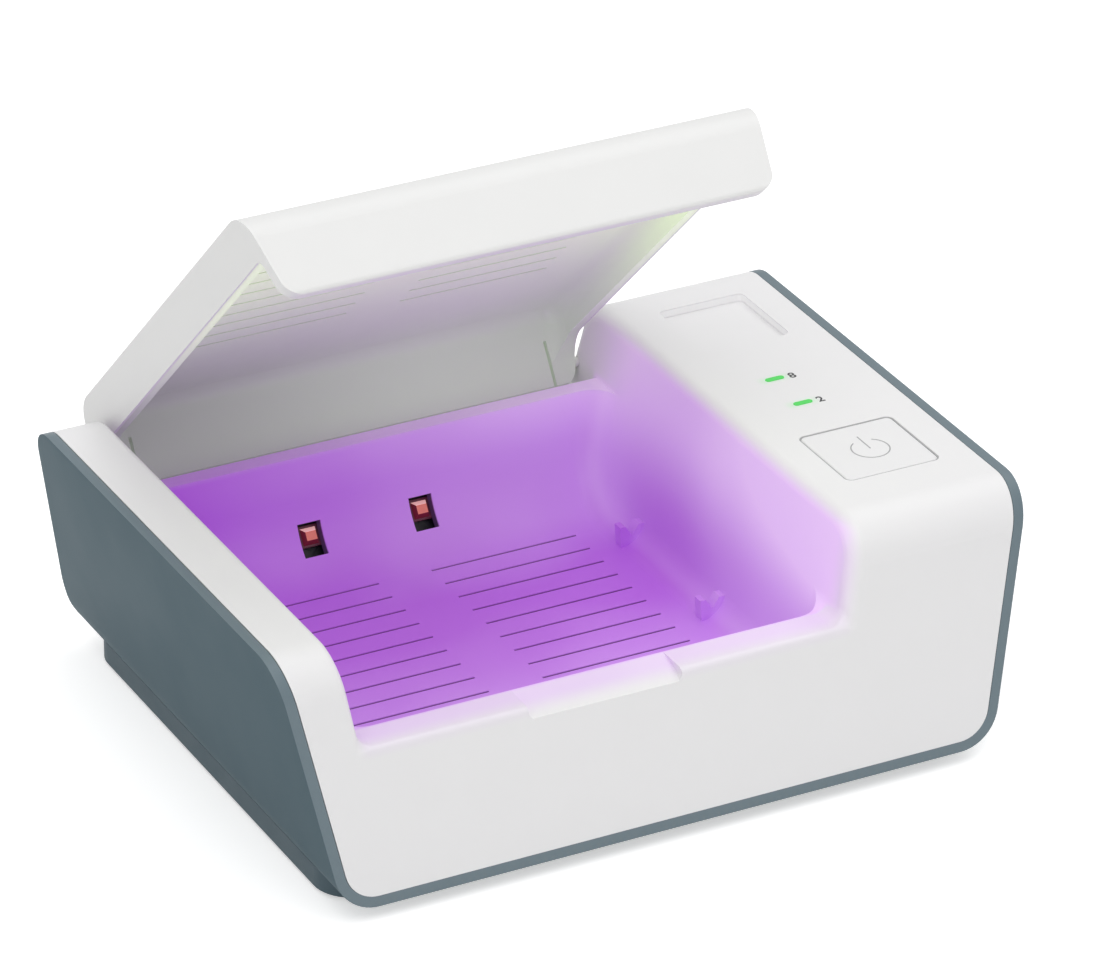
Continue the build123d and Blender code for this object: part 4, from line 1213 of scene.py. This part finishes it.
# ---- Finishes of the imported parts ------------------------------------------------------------
@dataclass
class Wardrobe:
    """Every finish of the dryer, with the parts that wear it."""

    white: Colour = (0.83, 0.825, 0.832)
    slate: Colour = (0.072, 0.118, 0.142)
    slate_rim_painted_light: Colour = (0.138, 0.188, 0.216)
    # grey of the strip that paints the groove's shade round the push button
    shade_strip_grey: Colour = (0.42, 0.42, 0.43)
    ink_grey: Colour = (0.40, 0.40, 0.41)
    ink_dark: Colour = (0.05, 0.05, 0.055)

    def packed(self) -> list[tuple[Finish, tuple[str, ...]]]:
        """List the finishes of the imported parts.

        Returns:
            Each finish with the parts that wear it.
        """
        return [
            (LitPlastic("lit_white_plastic", self.white, 0.42), ("upper_shell",)),
            (LidPlastic("lid_white_plastic", (0.80, 0.80, 0.793), 0.42), ("lid",)),
            (Plastic("button_white_plastic", (0.82, 0.815, 0.825), 0.4), ("power_button",)),
            (self.panel(), ("cradle",)),
            (Plastic("base_slate_plastic", (0.072, 0.112, 0.134), 0.55, Grain.SPARK, relief=0.012,
                     unevenness=0.04, specular=0.3), ("base_plate",)),
            (Plastic("foot_rubber", (0.022, 0.022, 0.025), 0.75, Grain.SPARK, relief=0.02,
                     unevenness=0.2), ("rubber_feet",)),
            (Plastic("black_plastic", (0.025, 0.025, 0.028), 0.45, unevenness=0.1),
             ("switch_housing", "fan_frame", "fan_rotor", "inlet_tongue", "controller_chip")),
            (Plastic("cream_plastic", (0.64, 0.6, 0.5), 0.4), ("switch_plunger",)),
            (Plastic("duct_grey_plastic", (0.26, 0.27, 0.28), 0.55), ("air_tray", "air_duct")),
            (Plastic("fired_ceramic", (0.1, 0.06, 0.045), 0.7, Grain.SPARK, relief=0.02,
                     unevenness=0.15), ("heater_core",)),
            (Plastic("white_ceramic", (0.72, 0.7, 0.65), 0.35, Grain.POLISHED), ("thermal_fuse",)),
            (Plastic("led_housing", (0.8, 0.8, 0.7), 0.3, Grain.POLISHED), ("indicator_leds",)),
            (Metal("zinc_steel", (0.56, 0.56, 0.58), 0.34), ("base_screws", "board_screws",
             "uv_board_screws", "heater_screws", "fan_screws")),
            (Metal("tinned_steel", (0.66, 0.66, 0.68), 0.28, brush=(1.0, 6.0, 1.0)),
             ("power_inlet",)),
            (Metal("can_aluminium", (0.78, 0.78, 0.8), 0.24), ("capacitors",)),
            (Metal("plate_aluminium", (0.76, 0.76, 0.78), 0.36, brush=(8.0, 1.0, 1.0)),
             ("heater_plate",)),
            (Board("green_board", mask=(0.012, 0.10, 0.04), track=(0.03, 0.2, 0.08)),
             ("main_board",)),
            (Board("black_board", mask=(0.006, 0.005, 0.01), track=(0.012, 0.009, 0.018)),
             ("uv_board",)),
            (Lamp("green_light", (0.05, 0.5, 0.06), glow=(0.08, 0.9, 0.12), strength=0.14),
             ("light_bars",)),
            (Lamp("violet_chip", (0.75, 0.16, 0.2), glow=(1.0, 0.22, 0.25), strength=0.35),
             ("uv_chips",)),
        ]

    def panel(self) -> Plastic:
        """Slate of the side panels."""
        return Plastic("slate_plastic", self.slate, 0.6, Grain.SPARK, relief=0.008,
                       unevenness=0.03, patch=30.0, specular=0.15)

    def rim(self) -> Plastic:
        """Lighter slate painted on the panels' rim, where light falls on it."""
        return Plastic("slate_rim_plastic", self.slate_rim_painted_light, 0.42, Grain.SPARK, relief=0.006,
                       unevenness=0.03, patch=30.0)

    def ink(self, name: str, colour: Colour) -> bpy.types.Material:
        """Printing ink, or the grey of the strip that paints the groove's shade round the push button."""
        return Plastic(name, colour, 0.5, Grain.POLISHED, unevenness=0.08, patch=0.8).make()

    def light_cap(self) -> bpy.types.Material:
        """Lit green of the light bars' caps."""
        return Lamp("green_cap", (0.06, 0.6, 0.09), glow=(0.06, 0.9, 0.12), strength=0.17,
                    roughness=0.35).make()

    def lamp_frame(self) -> bpy.types.Material:
        """Dark red of the lamps' frames."""
        return Plastic("maroon_frame", (0.17, 0.025, 0.06), 0.35, unevenness=0.2).make()

    def lens(self) -> list[bpy.types.Material]:
        """Finishes of a lens: its face, the facet above it with a painted highlight and the others in painted
        shade.
        """
        return [Lamp("lens_face", (0.66, 0.17, 0.14), glow=(1.0, 0.26, 0.18), strength=0.22).make(),
                Lamp("lens_crown_highlight", (0.95, 0.55, 0.53), glow=(1.0, 0.5, 0.5), strength=0.5).make(),
                Lamp("lens_flank_shade", (0.2, 0.025, 0.05), glow=(0.6, 0.05, 0.12), strength=0.1).make()]

    def dress(self) -> None:
        """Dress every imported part."""
        for finish, nodes in self.packed():
            material = finish.make()
            for node in nodes:
                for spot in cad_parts[node].material_slots:
                    spot.material = material
                log.info("%s: %s", node, material.name)


# ---- Studio ----------------------------------------------------------------------------------
@dataclass
class Camera:
    """A long lens from the front left and above.

    Its place is in millimetres, like the body's, and clip_end, up to where it sees, in metres.
    """

    place: Triple = (-396.03, -734.90, 499.63)
    azimuth_deg: float = -27.1974
    elevation_deg: float = 27.9677
    lens: float = 223.37
    sensor: float = 36.0
    clip_end: float = 20.0

    def build(self) -> None:
        """Place the camera and make it the scene's own."""
        data = bpy.data.cameras.new("camera")
        data.lens = self.lens
        data.sensor_width = self.sensor
        data.clip_end = self.clip_end
        camera = bpy.data.objects.new("camera", data)
        x, y, z = self.place
        camera.location = Vector((x, depth(y), z)) * MM
        tilt, pan = math.radians(90 - self.elevation_deg), math.radians(self.azimuth_deg)
        camera.rotation_euler = (tilt, 0, pan)
        bpy.context.scene.collection.objects.link(camera)
        bpy.context.scene.camera = camera


@dataclass(frozen=True)
class SoftLamp:
    """A soft square lamp that faces the object: place and width in metres, power in watts."""

    name: str
    place: Triple
    width: float
    power: float
    target: Triple = (0.0, 0.0, 0.03)

    def hang(self) -> None:
        """Hang the lamp."""
        data = bpy.data.lights.new(self.name, "AREA")
        data.size = self.width
        data.energy = self.power
        lamp = bpy.data.objects.new(self.name, data)
        lamp.location = self.place
        toward = Vector(self.target) - Vector(self.place)
        lamp.rotation_euler = toward.to_track_quat("-Z", "Y").to_euler()
        bpy.context.scene.collection.objects.link(lamp)


@dataclass
class Studio:
    """Pale floor, even world light and soft lamps; the floor's size is in metres."""

    world_level: float = 0.80
    floor_size: float = 6.0
    floor_dark: float = 0.84
    floor_pale: float = 0.86
    floor_patch: float = 400.0
    floor_roughness: float = 0.9
    floor_specular: float = 0.1
    floor_lift: float = 0.5
    lamps: tuple[SoftLamp, ...] = (
        SoftLamp("key", (-0.25, -0.5, 1.1), width=0.9, power=4.6),
        SoftLamp("fill", (-0.9, -0.9, 0.5), width=0.8, power=0.6),
        SoftLamp("top", (0.5, 0.25, 1.1), width=0.8, power=2.8),
    )

    def seen_directly(self, tree: bpy.types.NodeTree) -> Socket:
        """Tell what is seen from what only lights the object.

        Args:
            tree: the node tree that it is added to.

        Returns:
            A socket that is 1 for what the camera, a reflection or a clear material sees.
        """
        rays = tree.nodes.new("ShaderNodeLightPath")
        seen = rays.outputs["Is Camera Ray"]
        for name in ("Is Glossy Ray", "Is Transmission Ray"):
            either = tree.nodes.new("ShaderNodeMath")
            either.operation = "MAXIMUM"
            tree.links.new(seen, either.inputs[0])
            tree.links.new(rays.outputs[name], either.inputs[1])
            seen = either.outputs[0]
        return seen

    def world(self) -> None:
        """Even light all round, white where it is seen."""
        world = bpy.data.worlds.new("studio")
        world.use_nodes = True
        tree = world.node_tree
        tree.nodes.clear()
        level = tree.nodes.new("ShaderNodeMapRange")
        level.inputs["To Min"].default_value = self.world_level
        level.inputs["To Max"].default_value = 1.0
        tree.links.new(self.seen_directly(tree), level.inputs["Value"])
        light = tree.nodes.new("ShaderNodeBackground")
        tree.links.new(level.outputs["Result"], light.inputs["Strength"])
        output = tree.nodes.new("ShaderNodeOutputWorld")
        tree.links.new(light.outputs["Background"], output.inputs["Surface"])
        bpy.context.scene.world = world

    def floor(self) -> None:
        """Pale floor that keeps a soft shadow and is white elsewhere."""
        shape = bmesh.new()
        bmesh.ops.create_grid(shape, x_segments=1, y_segments=1, size=self.floor_size / 2 / MM)
        floor = bpy.data.objects.new("floor", to_mesh("floor", shape))
        bpy.context.scene.collection.objects.link(floor)
        sheet = Sheet("floor_white")
        sheet.set(roughness=self.floor_roughness, specular_ior_level=self.floor_specular)
        dark, pale = rgba((self.floor_dark,) * 3), rgba((self.floor_pale,) * 3)
        patches = sheet.noise(self.floor_patch)
        sheet.wire(sheet.blend(patches, dark, pale), sheet.shader.inputs["Base Color"])
        sheet.shader.inputs["Emission Color"].default_value = rgba((1.0, 1.0, 1.0))
        sheet.wire(sheet.product(self.seen_directly(sheet.tree), self.floor_lift),
                   sheet.shader.inputs["Emission Strength"])
        floor.data.materials.append(sheet.material)

    def build(self) -> None:
        """Set the whole studio up."""
        self.world()
        self.floor()
        for lamp in self.lamps:
            lamp.hang()


# ---- Build -----------------------------------------------------------------------------------
def main() -> None:
    """Build the looks, one sub-assembly after the other."""
    logging.basicConfig(level=logging.INFO, format="%(name)s: %(message)s")
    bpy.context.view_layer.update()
    bpy.context.scene.view_settings.view_transform = "Standard"
    Camera().build()
    Studio().build()
    wardrobe = Wardrobe()
    wardrobe.dress()
    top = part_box(BUTTON)[1].z / MM
    Cradle().build(wardrobe.panel().make(), wardrobe.rim().make())
    button = PushButton()
    button.shade_strip(top, wardrobe.ink("shade_strip_grey", wardrobe.shade_strip_grey))
    button.standby_sign(top, wardrobe.ink("grey_ink", wardrobe.ink_grey))
    lights = HourLights()
    lights.caps(top, wardrobe.light_cap())
    lights.numbers(top, wardrobe.ink("dark_ink", wardrobe.ink_dark))
    lamps = UvLamps()
    lamps.frames(wardrobe.lamp_frame())
    lamps.lenses(wardrobe.lens())


if __name__ == "__main__":
    main()
